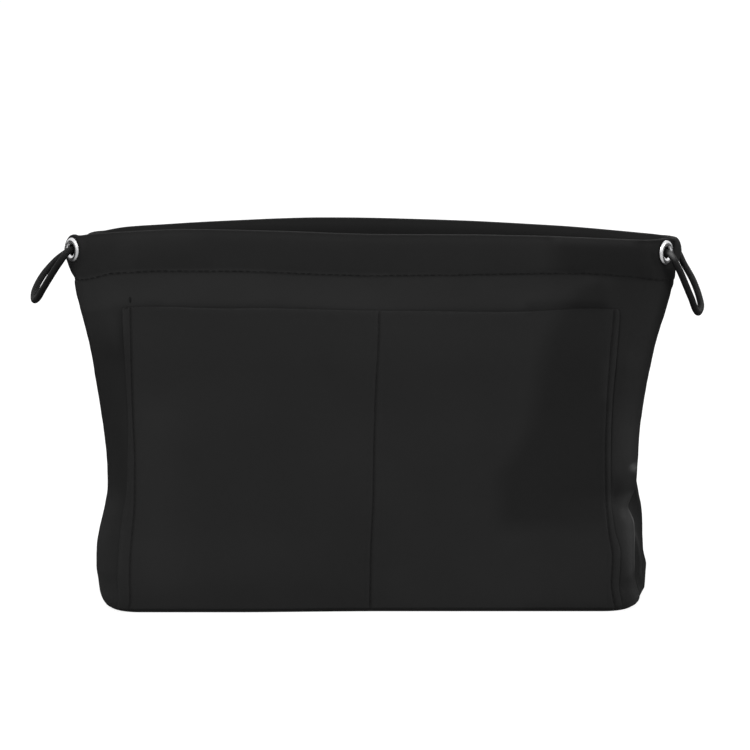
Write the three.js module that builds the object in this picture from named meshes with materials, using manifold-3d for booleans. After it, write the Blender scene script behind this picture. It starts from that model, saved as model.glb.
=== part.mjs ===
// Organizer pouch insert: an open-topped cloth liner with folding gussets, a patch pocket and a drawcord
// that runs through a casing on each rim and hangs as a loop at each side.
// Millimetres, +Z up, +X to the right of someone who faces the pocket, which is on the -Y side.
import * as THREE from 'three';
import { mergeVertices } from 'three/addons/utils/BufferGeometryUtils.js';
import Module from 'manifold-3d';

const wasm = await Module();
wasm.setup();

// Heights of the walls
const wallHeight = 172;
const casingHeight = 20;
const lowerSwellHeight = 24;
const waistHeight = 56;
const shoulderHeight = 110;
const gussetRimDrop = 12;

// Half the length of a wall at each height
const baseHalfLength = 124.7;
const swellHalfLength = 125.3;
const waistHalfLength = 121.2;
const shoulderHalfLength = 127.8;
const seamHalfLength = 136.2;
const mouthHalfLength = 137.4;

// How far the front and back walls stand from the middle plane
const baseHalfDepth = 52;
const waistHalfDepth = 47;
const shoulderHalfDepth = 37.5;
const mouthHalfDepth = 27;
const cornerLength = 14;
const wallBulge = 4;

// Where the walls meet the gussets, and how deep the gussets fold in
const baseSeamOffset = 34;
const waistSeamOffset = 27;
const shoulderSeamOffset = 19;
const mouthSeamOffset = 13;
const foldStartHeight = 10;
const waistFoldDepth = 18;
const shoulderFoldDepth = 27;
const mouthFoldDepth = 31;
const foldSoftness = 0.15;

// The rims lean apart sideways
const frontLean = -3.4;
const frontWaistLean = -1.9;
const frontSwellLean = -2.9;
const frontBaseLean = -2.6;
const backLean = 3.4;
const backSeamLean = 2.2;
const backShoulderLean = 1.8;
const backWaistLean = 0.9;
const backSwellLean = 1.2;
const backBaseLean = 2.6;

// How far each rim, and each casing's lower seam, hangs below its full height along the wall
const rimSags = {
  front: [[-137, 3.8], [-85, 0], [-45, 0.6], [0, 2], [40, 2.3], [70, 3], [137, 5.4]],
  back: [[-134, 6.7], [-101, 3.7], [-70, 2], [-26, 0.7], [30, 1.8], [86, 4.2], [120, 6], [141, 8.6]],
};
const seamSags = {
  front: [[-137, 3.7], [-119, -0.1], [-95, -1.1], [-62, -1.2], [-34, -0.2], [0, 0.6], [85, 0.1], [115, 1.5], [137, 4.4]],
  back: [[-134, 6.3], [-101, 3.3], [-26, 0.7], [30, 1.4], [86, 3.6], [120, 5.4], [141, 8]],
};

// Cloth
const shellThickness = 1.2;
const liningThickness = 0.8;
const layerGap = 0.3;
const baseEndRadius = 8;
const baseSideRadius = 2;
const basePanelThickness = 2.5;
const boardThickness = 1.6;
const liningTurn = 0.8;

// Drawcord casing
const casingDepth = 7;
const casingPly = 1;
const casingProud = 0.9;

// Patch pocket on the front
const pocketHalfLength = 113.5;
const pocketDrop = 15.4;
const pocketBottomHeight = 5;
const pocketThickness = 0.8;
const pocketGap = 0.7;
const pocketGape = 1.5;

// Eyelets
const eyeletHoleRadius = 2.7;
const eyeletBarrelWall = 0.6;
const eyeletFlangeRadius = 5.5;
const eyeletFlangeHeight = 1;
const eyeletDrop = 6.2;
const eyeletTurn = THREE.MathUtils.degToRad(55);
const washerRadius = 4.4;
const washerThickness = 0.6;
const seatRadius = 7.5;
const seatFade = 3;

// Drawcord
const cordRadius = 1.5;
const cordSides = 8;
const cordStep = 7;
const tailSweep = 0.4;

// Each loop's centreline from its front tail to its back tail
const leftLoopPoints = [
  [-143.6, -22.8, 157.4],
  [-145.6, -20.2, 154.5],
  [-148.3, -16.8, 150.3],
  [-150.9, -12.8, 146.1],
  [-153.6, -8.1, 141.9],
  [-156.1, -2.5, 138],
  [-158.3, 3.5, 136.5],
  [-158.8, 8.8, 139],
  [-157.3, 13.1, 142.4],
  [-154.9, 16.4, 146.1],
  [-152.1, 19.2, 149.5],
  [-148.9, 21.6, 152.2],
  [-145.4, 23.2, 154.3],
  [-142.5, 24.1, 156.1],
  [-140, 24.6, 157.8],
];
const rightLoopPoints = [
  [137, -22.9, 155.5],
  [139.1, -20.6, 151.4],
  [141, -17.8, 147.1],
  [143, -14.3, 142.5],
  [145.1, -10.2, 137.7],
  [147.1, -5, 133.3],
  [149.1, 0.9, 131.1],
  [150.6, 6.2, 133],
  [150.2, 10.4, 136.4],
  [148.9, 13.8, 140.2],
  [147.2, 16.6, 143.9],
  [145.2, 19.1, 147.3],
  [143.1, 21.1, 150.6],
  [142.2, 22.5, 152.9],
];

const seamHeight = wallHeight - casingHeight;
const casingMiddle = wallHeight - casingHeight / 2;
const gussetTopHeight = wallHeight - gussetRimDrop;
const pocketTopHeight = seamHeight - pocketDrop;
const clothTop = seamHeight - layerGap;
const shellBottom = basePanelThickness + layerGap;
const boardTop = shellBottom + boardThickness;
const liningBottom = boardTop + layerGap;
const wallLiningBottom = liningBottom + liningThickness + layerGap;
const liningOffset = shellThickness + layerGap;
const cornerShare = 0.8;

const nylon = { color: 0x1d1d1f, roughness: 0.55, metalness: 0 };
const liningCloth = { color: 0x202022, roughness: 0.6, metalness: 0 };
const boardStock = { color: 0x2b2b2d, roughness: 0.8, metalness: 0 };
const nickel = { color: 0xd4d5d8, roughness: 0.25, metalness: 1 };
const cordYarn = { color: 0x18181a, roughness: 0.75, metalness: 0 };

// A smooth curve through [height, value] points that never overshoots them
function through(points) {
  const steps = points.slice(1).map((p, i) => p[0] - points[i][0]);
  const rises = points.slice(1).map((p, i) => (p[1] - points[i][1]) / steps[i]);
  const slopes = points.map((p, i) => {
    if (i === 0 || i === points.length - 1) return 0;
    const [before, after] = [rises[i - 1], rises[i]];
    return before * after <= 0 ? 0 : (2 * before * after) / (before + after);
  });
  return (height) => {
    const h = THREE.MathUtils.clamp(height, points[0][0], points.at(-1)[0]);
    let i = 0;
    while (i < steps.length - 1 && h > points[i + 1][0]) i += 1;
    const t = (h - points[i][0]) / steps[i];
    const u = 1 - t;
    return (1 + 2 * t) * u * u * points[i][1] + t * u * u * steps[i] * slopes[i]
      + t * t * (3 - 2 * t) * points[i + 1][1] - t * t * u * steps[i] * slopes[i + 1];
  };
}

const halfLength = through([
  [0, baseHalfLength],
  [lowerSwellHeight, swellHalfLength],
  [waistHeight, waistHalfLength],
  [shoulderHeight, shoulderHalfLength],
  [seamHeight, seamHalfLength],
  [wallHeight, mouthHalfLength],
]);
const halfDepth = through([
  [0, baseHalfDepth],
  [waistHeight, waistHalfDepth],
  [shoulderHeight, shoulderHalfDepth],
  [seamHeight, mouthHalfDepth],
  [wallHeight, mouthHalfDepth],
]);
const seamOffset = through([
  [0, baseSeamOffset],
  [waistHeight, waistSeamOffset],
  [shoulderHeight, shoulderSeamOffset],
  [seamHeight, mouthSeamOffset],
  [wallHeight, mouthSeamOffset],
]);
const foldDepth = through([
  [0, 0],
  [foldStartHeight, 0],
  [waistHeight, waistFoldDepth],
  [shoulderHeight, shoulderFoldDepth],
  [wallHeight, mouthFoldDepth],
]);
const bulge = through([
  [0, 0],
  [waistHeight, wallBulge],
  [wallHeight, wallBulge],
]);
const leans = {
  front: through([
    [0, frontBaseLean],
    [lowerSwellHeight, frontSwellLean],
    [waistHeight, frontWaistLean],
    [seamHeight, frontWaistLean],
    [wallHeight, frontLean],
  ]),
  back: through([
    [0, backBaseLean],
    [lowerSwellHeight, backSwellLean],
    [waistHeight, backWaistLean],
    [shoulderHeight, backShoulderLean],
    [seamHeight, backSeamLean],
    [wallHeight, backLean],
  ]),
};
const depthSign = { front: -1, back: 1 };

const rimSag = { front: through(rimSags.front), back: through(rimSags.back) };
const seamSag = { front: through(seamSags.front), back: through(seamSags.back) };

// The base's edge is rounded, widely at its ends, so the walls draw in as they come down to it
function edgeInset(height, radius) {
  if (height >= radius) return 0;
  return radius - Math.sqrt(radius ** 2 - (radius - height) ** 2);
}

// How far the cloth hangs below its full height: the rim's sag at the top of the casing, the seam's at its
// foot, and less and less of that towards the base
function sag(side, x, height) {
  const [rim, seam] = [rimSag[side](x), seamSag[side](x)];
  if (height < seamHeight) return seam * (height / seamHeight) ** 3;
  return THREE.MathUtils.lerp(seam, rim, (height - seamHeight) / casingHeight);
}

// A wall's plan curve: t runs from -1 at the left seam to 1 at the right one, straight with a slight bulge in
// the middle, with a quarter ellipse at each end
function planPoint(side, t, height) {
  const reach = halfLength(height) - edgeInset(height, baseEndRadius);
  const depth = halfDepth(height) - edgeInset(height, baseSideRadius);
  const seam = seamOffset(height);
  const straight = reach - cornerLength;
  const lean = leans[side](height);
  if (Math.abs(t) <= cornerShare) {
    const along = t / cornerShare;
    const swell = (bulge(height) * (1 + Math.cos(Math.PI * along))) / 2;
    return new THREE.Vector2(straight * along + lean, depthSign[side] * (depth + swell));
  }
  const turn = (((Math.abs(t) - cornerShare) / (1 - cornerShare)) * Math.PI) / 2;
  const x = Math.sign(t) * (straight + cornerLength * Math.sin(turn));
  return new THREE.Vector2(x + lean, depthSign[side] * (seam + (depth - seam) * Math.cos(turn)));
}

function planNormal(side, t, height) {
  const reach = 1e-3;
  const before = planPoint(side, Math.max(-1, t - reach), height);
  const after = planPoint(side, Math.min(1, t + reach), height);
  const along = after.sub(before).normalize();
  return new THREE.Vector2(along.y, -along.x).multiplyScalar(-depthSign[side]);
}

// A point on a wall, with inward millimetres under its outer face
function wallPoint(side, t, height, inward) {
  const plan = planPoint(side, t, height);
  plan.addScaledVector(planNormal(side, t, height), -inward);
  return new THREE.Vector3(plan.x, plan.y, height - sag(side, plan.x, height));
}

// A point on a gusset: v runs from -1 at the front seam to 1 at the back one, and the fold points inwards
function gussetPoint(end, v, height, inward) {
  const seam = seamOffset(height);
  const fold = foldDepth(height);
  const top = Math.hypot(1, foldSoftness);
  const tent = (top - Math.hypot(v, foldSoftness)) / (top - foldSoftness);
  const slant = Math.hypot(1, fold / seam);
  const share = (v + 1) / 2;
  const lean = THREE.MathUtils.lerp(leans.front(height), leans.back(height), share);
  const reach = halfLength(height) - edgeInset(height, baseEndRadius) - fold * tent - inward * slant;
  const x = end * reach + lean;
  const drop = THREE.MathUtils.lerp(sag('front', x, height), sag('back', x, height), share);
  return new THREE.Vector3(x, v * (seam - layerGap), height - drop);
}

function spaced(from, to, count) {
  return Array.from({ length: count + 1 }, (_, i) => THREE.MathUtils.lerp(from, to, i / count));
}

function solidFrom(points, triangles) {
  const volume = triangles.reduce((sum, [a, b, c]) => {
    return sum + new THREE.Vector3().crossVectors(points[b], points[c]).dot(points[a]);
  }, 0);
  const faces = volume < 0 ? triangles.map(([a, b, c]) => [a, c, b]) : triangles;
  const geometry = new THREE.BufferGeometry();
  geometry.setAttribute('position', new THREE.Float32BufferAttribute(points.flatMap((p) => p.toArray()), 3));
  geometry.setIndex(faces.flat());
  return geometry;
}

// A cloth ply: place(column, row, face) gives the corner on face 0 (outside) or 1 (inside)
function sheet(columns, rows, place) {
  const points = [];
  for (const face of [0, 1]) {
    for (const row of rows) {
      for (const column of columns) points.push(place(column, row, face));
    }
  }
  const across = columns.length;
  const layer = across * rows.length;
  const triangles = [];
  const quad = (a, b, c, d) => triangles.push([a, b, c], [a, c, d]);
  for (let j = 0; j < rows.length - 1; j += 1) {
    for (let i = 0; i < across - 1; i += 1) {
      const a = j * across + i;
      quad(a, a + 1, a + across + 1, a + across);
      quad(layer + a, layer + a + across, layer + a + across + 1, layer + a + 1);
    }
    const left = j * across;
    const right = left + across - 1;
    quad(left, left + across, layer + left + across, layer + left);
    quad(right, layer + right, layer + right + across, right + across);
  }
  for (let i = 0; i < across - 1; i += 1) {
    const top = (rows.length - 1) * across + i;
    quad(i, layer + i, layer + i + 1, i + 1);
    quad(top, top + 1, layer + top + 1, layer + top);
  }
  return solidFrom(points, triangles);
}

// A solid through rings of points, closed by a flat cap at each end
function loft(rings) {
  const around = rings[0].length;
  const points = rings.flat();
  const triangles = [];
  for (let j = 0; j < rings.length - 1; j += 1) {
    for (let i = 0; i < around; i += 1) {
      const next = (i + 1) % around;
      const [a, b] = [j * around + i, j * around + next];
      triangles.push([a, b, b + around], [a, b + around, a + around]);
    }
  }
  const top = (rings.length - 1) * around;
  for (let i = 1; i < around - 1; i += 1) {
    triangles.push([0, i + 1, i], [top, top + i, top + i + 1]);
  }
  return solidFrom(points, triangles);
}

function manifoldOf(geometry) {
  const bare = geometry.clone();
  bare.deleteAttribute('normal');
  bare.deleteAttribute('uv');
  const merged = mergeVertices(bare, 1e-4);
  return new wasm.Manifold(new wasm.Mesh({
    numProp: 3,
    vertProperties: new Float32Array(merged.attributes.position.array),
    triVerts: new Uint32Array(merged.index.array),
  }));
}

function cut(geometry, tools) {
  const solid = tools.reduce((rest, tool) => rest.subtract(manifoldOf(tool)), manifoldOf(geometry));
  const mesh = solid.getMesh();
  const result = new THREE.BufferGeometry();
  result.setAttribute('position', new THREE.BufferAttribute(new Float32Array(mesh.vertProperties), 3));
  result.setIndex(new THREE.BufferAttribute(new Uint32Array(mesh.triVerts), 1));
  return result;
}

const middleColumns = 12;

// Stations along a wall, closer together round its corners
function stations(cornerColumns) {
  return [
    ...spaced(-1, -cornerShare, cornerColumns),
    ...spaced(-cornerShare, cornerShare, middleColumns).slice(1, -1),
    ...spaced(cornerShare, 1, cornerColumns),
  ];
}

const wallColumns = stations(5);
const casingColumns = stations(9);

function wallRows(bottom) {
  const rounded = [bottom, (bottom + baseEndRadius) / 2, baseEndRadius];
  const bends = [lowerSwellHeight, waistHeight, shoulderHeight, pocketTopHeight];
  const between = bends.slice(1).map((height, i) => (height + bends[i]) / 2);
  return [...rounded, ...bends, ...between, clothTop].sort((a, b) => a - b);
}

function wallPly(side, bottom, inward, thickness) {
  return sheet(wallColumns, wallRows(bottom), (t, height, face) => {
    return wallPoint(side, t, height, inward + face * thickness);
  });
}

function gussetPly(end, bottom, inward, thickness) {
  const rows = [...wallRows(bottom), gussetTopHeight];
  return sheet(spaced(-1, 1, 10), rows, (v, height, face) => {
    return gussetPoint(end, v, height, inward + face * thickness);
  });
}

// The outline of the base at a height, inset from the walls' outer face, moved to a level
function baseRing(height, inward, level) {
  const front = wallColumns.map((t) => wallPoint('front', t, height, inward));
  const back = wallColumns.map((t) => wallPoint('back', t, height, inward)).reverse();
  return [...front, ...back].map((p) => new THREE.Vector3(p.x, p.y, level));
}

function basePanel() {
  const levels = [0, 0.04, 0.16, 0.45, 1].map((share) => share * basePanelThickness);
  return loft(levels.map((level) => baseRing(level, 0, level)));
}

function basePlate(bottom, thickness, turn = 0) {
  const lower = baseRing(bottom, liningOffset, bottom);
  return loft([lower, baseRing(bottom, liningOffset + turn, bottom + thickness)]);
}

// The station t of a point that stands x from the wall's middle
function stationAt(x, height) {
  const straight = halfLength(height) - edgeInset(height, baseEndRadius) - cornerLength;
  const along = Math.abs(x) - straight;
  if (along <= 0) return (cornerShare * x) / straight;
  const turn = Math.asin(Math.min(1, along / cornerLength));
  return Math.sign(x) * (cornerShare + ((1 - cornerShare) * turn * 2) / Math.PI);
}

// The pocket lies on the front wall, sewn at its sides, its centre and its bottom. Its columns follow the
// wall's straight middle, and its edges lap a little way round the corners.
function pocketPly() {
  const flatShare = 0.9;
  const place = (share, height) => {
    const straight = halfLength(height) - edgeInset(height, baseEndRadius) - cornerLength;
    const flat = Math.min(straight, flatShare * pocketHalfLength);
    if (Math.abs(share) <= flatShare) return (flat * share) / flatShare;
    const beyond = (Math.abs(share) - flatShare) / (1 - flatShare);
    return Math.sign(share) * THREE.MathUtils.lerp(flat, pocketHalfLength, beyond);
  };
  const edge = spaced(flatShare, 1, 2).slice(1);
  const columns = [
    ...edge.map((share) => -share).reverse(),
    ...spaced(-flatShare, flatShare, middleColumns),
    ...edge,
  ];
  const rows = wallRows(pocketBottomHeight).filter((height) => height < pocketTopHeight);
  return sheet(columns, [...rows, pocketTopHeight], (share, height, face) => {
    const x = place(share, height);
    const open = Math.sin((Math.PI * x) / pocketHalfLength) ** 2 * (height / pocketTopHeight) ** 3;
    const inward = face * pocketThickness - pocketThickness - pocketGap - pocketGape * open;
    return wallPoint('front', stationAt(x, height), height, inward);
  });
}

// Each eyelet's place: its middle on the casing's face and its outward axis
function eyeletSeat(side, end) {
  const t = end * (cornerShare + ((1 - cornerShare) * eyeletTurn * 2) / Math.PI);
  const height = wallHeight - eyeletDrop;
  const normal = planNormal(side, t, height);
  return {
    t,
    centre: wallPoint(side, t, height, -casingProud),
    axis: new THREE.Vector3(normal.x, normal.y, 0),
  };
}

// The casing's flattened section: [share of the depth, height from its middle], shrunk by the ply for its inside
function casingSection(shrink) {
  const half = casingHeight / 2 - shrink;
  const depth = casingDepth - 2 * shrink;
  const sides = [-0.67, -0.25, 0.1, 0.4, 0.67];
  const shoulder = 0.92;
  const rounding = 0.12;
  const face = sides.map((share) => [0, share]);
  const crown = [[rounding, shoulder], [0.5, 1], [1 - rounding, shoulder]];
  const rear = sides.map((share) => [1, share]).reverse();
  const sole = [[1 - rounding, -shoulder], [0.5, -1], [rounding, -shoulder]];
  return [...face, ...crown, ...rear, ...sole].map(([across, up]) => {
    return { inward: shrink + across * depth, rise: up * half, outer: across < 0.5 };
  });
}

function casing(side) {
  const seats = [-1, 1].map((end) => eyeletSeat(side, end));
  const rings = [0, casingPly].map((shrink) => casingColumns.map((t) => casingSection(shrink).map((spot) => {
    const point = wallPoint(side, t, casingMiddle + spot.rise, spot.inward - casingProud);
    for (const seat of seats) {
      const offset = point.clone().sub(seat.centre);
      const rise = offset.dot(seat.axis);
      const away = offset.addScaledVector(seat.axis, -rise).length();
      const flat = 1 - THREE.MathUtils.smoothstep(away, seatRadius, seatRadius + seatFade);
      if (spot.outer) point.addScaledVector(seat.axis, (-shrink - rise) * flat);
    }
    return point;
  })));
  const around = rings[0][0].length;
  const length = casingColumns.length;
  const points = rings.flat(2);
  const inner = length * around;
  const triangles = [];
  const quad = (a, b, c, d) => triangles.push([a, b, c], [a, c, d]);
  for (let j = 0; j < around; j += 1) {
    const next = (j + 1) % around;
    for (let i = 0; i < length - 1; i += 1) {
      const [a, b] = [i * around + j, i * around + next];
      quad(a, a + around, b + around, b);
      quad(inner + a, inner + b, inner + b + around, inner + a + around);
    }
    const last = (length - 1) * around;
    quad(j, next, inner + next, inner + j);
    quad(last + j, inner + last + j, inner + last + next, last + next);
  }
  const holes = seats.map((seat) => {
    const radius = eyeletHoleRadius + eyeletBarrelWall + layerGap;
    const hole = new THREE.CylinderGeometry(radius, radius, 4 * casingPly, 20);
    return stand(hole, seat);
  });
  return cut(solidFrom(points, triangles), holes);
}

// Turns a shape whose axis is Y to the seat's axis and moves it there
function stand(geometry, seat) {
  const turn = new THREE.Quaternion().setFromUnitVectors(new THREE.Vector3(0, 1, 0), seat.axis);
  return geometry.applyQuaternion(turn).translate(...seat.centre.toArray());
}

function ringSolid(profile, seat) {
  const points = [...profile, profile[0]].map(([r, h]) => new THREE.Vector2(r, h));
  return stand(new THREE.LatheGeometry(points, 20), seat);
}

function eyelet(seat) {
  const hole = eyeletHoleRadius;
  const barrel = hole + eyeletBarrelWall;
  const brim = eyeletFlangeRadius;
  const under = layerGap;
  const crown = under + eyeletFlangeHeight;
  const barrelEnd = -(casingPly + layerGap + washerThickness + 0.1);
  return ringSolid([
    [hole, barrelEnd],
    [barrel, barrelEnd],
    [barrel, under],
    [brim, under],
    [brim - 0.1, under + 0.45 * eyeletFlangeHeight],
    [brim - 0.6, under + 0.85 * eyeletFlangeHeight],
    [brim - 1.5, crown],
    [hole + 0.8, crown - 0.1],
    [hole + 0.2, crown - 0.5],
    [hole, crown - 1],
  ], seat);
}

function washer(seat) {
  const bore = eyeletHoleRadius + eyeletBarrelWall + layerGap;
  const top = -(casingPly + layerGap);
  return ringSolid([
    [bore, top - washerThickness],
    [washerRadius, top - washerThickness],
    [washerRadius, top],
    [bore, top],
  ], seat);
}

function cordAlong(points, step) {
  const path = new THREE.CatmullRomCurve3(points);
  const section = new THREE.Shape();
  for (let i = 0; i < cordSides; i += 1) {
    const turn = (2 * Math.PI * i) / cordSides;
    const [x, y] = [cordRadius * Math.cos(turn), cordRadius * Math.sin(turn)];
    if (i === 0) section.moveTo(x, y);
    else section.lineTo(x, y);
  }
  section.closePath();
  const steps = Math.max(4, Math.round(path.getLength() / step));
  return new THREE.ExtrudeGeometry(section, { extrudePath: path, steps, bevelEnabled: false, curveSegments: 1 });
}

// How far the cord's centreline lies under the casing's face, just clear of the eyelet's barrel
const cordDepth = casingPly + washerThickness + 0.1 + 2 * layerGap + cordRadius;

function cordRun(side) {
  const reach = Math.abs(eyeletSeat(side, 1).t);
  const places = stations(9).filter((t) => Math.abs(t) <= reach);
  const height = wallHeight - eyeletDrop;
  return cordAlong(places.map((t) => wallPoint(side, t, height, cordDepth - casingProud)), cordStep);
}

// A tail comes straight out of its eyelet, then bends down to the loop's end in one round sweep
function cordTail(seat, loopEnd, loopNext) {
  const along = (distance) => seat.centre.clone().addScaledVector(seat.axis, distance);
  const start = -(cordDepth - cordRadius - layerGap);
  const approach = loopEnd.clone().sub(loopNext).normalize();
  const end = loopEnd.clone().addScaledVector(approach, layerGap);
  const handle = tailSweep * seat.centre.distanceTo(end);
  const above = end.clone().addScaledVector(approach, handle);
  const sweep = new THREE.CubicBezierCurve3(seat.centre, along(handle), above, end);
  return cordAlong([along(start), along(start / 2), ...sweep.getPoints(12)], cordRadius);
}

const bag = new THREE.Group();

function addPiece(name, geometry, finish) {
  const piece = new THREE.Mesh(geometry, new THREE.MeshStandardMaterial(finish));
  piece.name = name;
  piece.geometry.computeVertexNormals();
  bag.add(piece);
}

for (const side of ['front', 'back']) {
  addPiece(`${side}_panel`, wallPly(side, shellBottom, 0, shellThickness), nylon);
  addPiece(`${side}_lining`, wallPly(side, wallLiningBottom, liningOffset, liningThickness), liningCloth);
  addPiece(`${side}_casing`, casing(side), nylon);
  addPiece(`${side}_cord_run`, cordRun(side), cordYarn);
}
for (const [name, end] of [['left', -1], ['right', 1]]) {
  addPiece(`${name}_gusset`, gussetPly(end, shellBottom, 0, shellThickness), nylon);
  const lining = gussetPly(end, wallLiningBottom, liningOffset, liningThickness);
  addPiece(`${name}_gusset_lining`, lining, liningCloth);
}
addPiece('base_panel', basePanel(), nylon);
addPiece('base_board', basePlate(shellBottom, boardThickness), boardStock);
// The base lining's edge slopes down to its seam, under the feet of the wall linings
addPiece('base_lining', basePlate(liningBottom, liningThickness, liningTurn), liningCloth);
addPiece('front_pocket', pocketPly(), nylon);

for (const [name, end, list] of [['left', -1, leftLoopPoints], ['right', 1, rightLoopPoints]]) {
  const points = list.map((p) => new THREE.Vector3(...p));
  addPiece(`${name}_loop`, cordAlong(points, cordStep / 2), cordYarn);
  const ends = { front: [points[0], points[1]], back: [points.at(-1), points.at(-2)] };
  for (const side of ['front', 'back']) {
    const seat = eyeletSeat(side, end);
    addPiece(`${side}_${name}_eyelet`, eyelet(seat), nickel);
    addPiece(`${side}_${name}_washer`, washer(seat), nickel);
    addPiece(`${side}_${name}_tail`, cordTail(seat, ...ends[side]), cordYarn);
  }
}

// The pocket adds to the front alone, so the bag is set back by half of that
bag.position.y = (pocketThickness + pocketGap) / 2;

export default bag;
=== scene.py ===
"""Black cloth organizer pouch insert with a drawcord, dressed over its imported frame.

Lengths are in millimetres in the maths below and become metres when a mesh is made. +X is to the right of
someone who faces the pocket, which is on the -Y side, and +Z is up.
"""

import bpy
import numpy as np
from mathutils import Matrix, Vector


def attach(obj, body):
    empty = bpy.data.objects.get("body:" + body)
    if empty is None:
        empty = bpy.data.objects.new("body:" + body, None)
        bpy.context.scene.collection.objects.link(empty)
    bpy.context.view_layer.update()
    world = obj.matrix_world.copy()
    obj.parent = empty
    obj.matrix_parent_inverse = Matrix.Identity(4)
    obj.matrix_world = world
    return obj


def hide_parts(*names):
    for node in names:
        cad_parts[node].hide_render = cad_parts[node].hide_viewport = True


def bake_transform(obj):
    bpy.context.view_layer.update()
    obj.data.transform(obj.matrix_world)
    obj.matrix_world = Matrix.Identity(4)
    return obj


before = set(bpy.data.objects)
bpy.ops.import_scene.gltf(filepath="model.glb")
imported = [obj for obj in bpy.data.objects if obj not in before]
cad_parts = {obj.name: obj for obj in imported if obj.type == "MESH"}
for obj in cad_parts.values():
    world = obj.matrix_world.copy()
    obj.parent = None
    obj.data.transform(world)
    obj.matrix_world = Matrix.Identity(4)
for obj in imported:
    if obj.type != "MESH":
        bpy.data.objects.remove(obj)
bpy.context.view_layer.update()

MM = 0.001

# Walls
WALL_HEIGHT = 172
SEAM_HEIGHT = 152
CASING_HEIGHT = 20
GUSSET_TOP = 160
POCKET_TOP = 136.6
CASING_MIDDLE = 162
CORNER = 14
CORNER_SHARE = 0.8
BASE_END_RADIUS = 8
BASE_SIDE_RADIUS = 0.7
FOOT_TANGENT = 0.12
FOOT_BULGE = 2.4
BACK_FLARE = 4.2
FOLD_SOFTNESS = 0.15
POCKET_SETBACK = 0.75
POCKET_HALF = 114
POCKET_PLY = 0.9
POCKET_OFF = 1.1
# A wall's cloth from its middle to its seam, and its length per unit of t round a corner
WALL_SPAN = 152
CORNER_SPAN = 110
# A gusset's cloth from its fold to its seam, and across its fold as it stands
GUSSET_SPAN = 34
GUSSET_ACROSS = 22

# Cloth: the walls are folded under over the base's edge, from its foot up
FOOT = 0.3
SHELL = 1.2
LINING = 0.8
PLY_GAP = 0.3
BASE_PANEL = 2.5
LINING_BOTTOM = 4.7
WALL_LINING_BOTTOM = 5.8
LINING_OFFSET = SHELL + PLY_GAP
CASING_PROUD = 0.9
CASING_PLY = 1.0
CASING_HALF = 10.0
SEAM_RISE = 10.0
ROW_END = 0.97

# Eyelets: CLOTH_HOLE is cut in the casing under each, and the cloth is pressed flat out to the first radius
# of PRESSED_FLAT and free again at the second. EYELET_T is where they sit along the wall
EYELET_HOLE = 2.7
EYELET_BRIM = 5.5
EYELET_HEIGHT = 1.1
EYELET_DROP = 6.2
EYELET_T = CORNER_SHARE + (1 - CORNER_SHARE) * 55 / 90
WASHER_BRIM = 4.9
CLOTH_HOLE = 3.9
PRESSED_FLAT = (5.9, 8.6)

# Cord: BRAID_TURN is the length in which a strand goes once round, and UPPER_SIDE the way that the side of
# the cord with the painted highlight faces
CORD_RADIUS = 1.5
CORD_DEPTH = 3.8
CORD_STEP = 0.35
CORD_AROUND = 28
BRAID_TURN = 9
TAIL_SWEEP = 0.4
UPPER_SIDE = np.array([-0.3, -0.6, 0.74])

# The loops' middle lines, from their front tail to their back one
LEFT_LOOP = np.array([
    [-143.6, -22.8, 157.4], [-145.6, -20.2, 154.5], [-148.3, -16.8, 150.3], [-150.9, -12.8, 146.1],
    [-153.6, -8.1, 141.6], [-156.1, -2.5, 137.4], [-158.2, 3.5, 135.7], [-158.6, 8.8, 138.3],
    [-157.2, 13.1, 142], [-154.8, 16.4, 145.9], [-151.9, 19.2, 149.3], [-148.9, 21.6, 152.2],
    [-145.8, 23.2, 154.5], [-142.8, 24.1, 156.3], [-140, 24.6, 157.8],
])
RIGHT_LOOP = np.array([
    [137, -22.9, 155.5], [139.1, -20.6, 151.4], [141, -17.8, 147.1], [143, -14.3, 142.5],
    [145.1, -10.2, 137.7], [147.1, -5, 132.7], [149.1, 0.9, 130.2], [150.6, 6.2, 132.3],
    [150, 10.4, 136.3], [148.8, 13.8, 140.1], [147.2, 16.6, 143.9], [145.3, 19.1, 147.3],
    [143.4, 21.1, 150.6], [142.3, 22.5, 152.9],
])


def cubic(t, step, start, end, leaving, arriving):
    """A point t of the way along a step of the cubic with these values and slopes at the step's two ends."""
    u = 1 - t
    ends = (1 + 2 * t) * u * u * start + t * t * (3 - 2 * t) * end
    return ends + (t * u * u * leaving - t * t * u * arriving) * step


def through(*points):
    """A smooth curve through (place, value) pairs: a cubic between each two, whose slope at a pair is the
    harmonic mean of the rises beside it, and zero at a peak and at both ends, so that it never overshoots."""
    xs, ys = np.array(points, float).T
    steps, rises = np.diff(xs), np.diff(ys) / np.diff(xs)
    before, after = rises[:-1], rises[1:]
    same = before * after > 0
    slopes = np.zeros(len(xs))
    slopes[1:-1] = np.where(same, 2 * before * after / np.where(same, before + after, 1), 0)

    def value(place):
        """The curve's value at each place, level past its two ends."""
        x = np.clip(place, xs[0], xs[-1])
        i = np.clip(np.searchsorted(xs, x, side="right") - 1, 0, len(steps) - 1)
        return cubic((x - xs[i]) / steps[i], steps[i], ys[i], ys[i + 1], slopes[i], slopes[i + 1])

    return value


# The pouch's plain shape at each height: half its length and depth, the side seams' distance from the middle
# of each end, the depth of the gussets' folds and the bulge of the walls' middles
half_length = through((0, 124.7), (24, 125.3), (56, 121.2), (110, 127.8), (152, 136.2), (172, 137.4))
half_depth = through((0, 52), (56, 47), (110, 37.5), (152, 27), (172, 27))
seam_offset = through((0, 34), (56, 27), (110, 19), (152, 13), (172, 13))
fold_depth = through((0, 0), (10, 0), (56, 18), (110, 27), (172, 31))
wall_bulge = through((0, 0), (56, 4), (172, 4))
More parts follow.
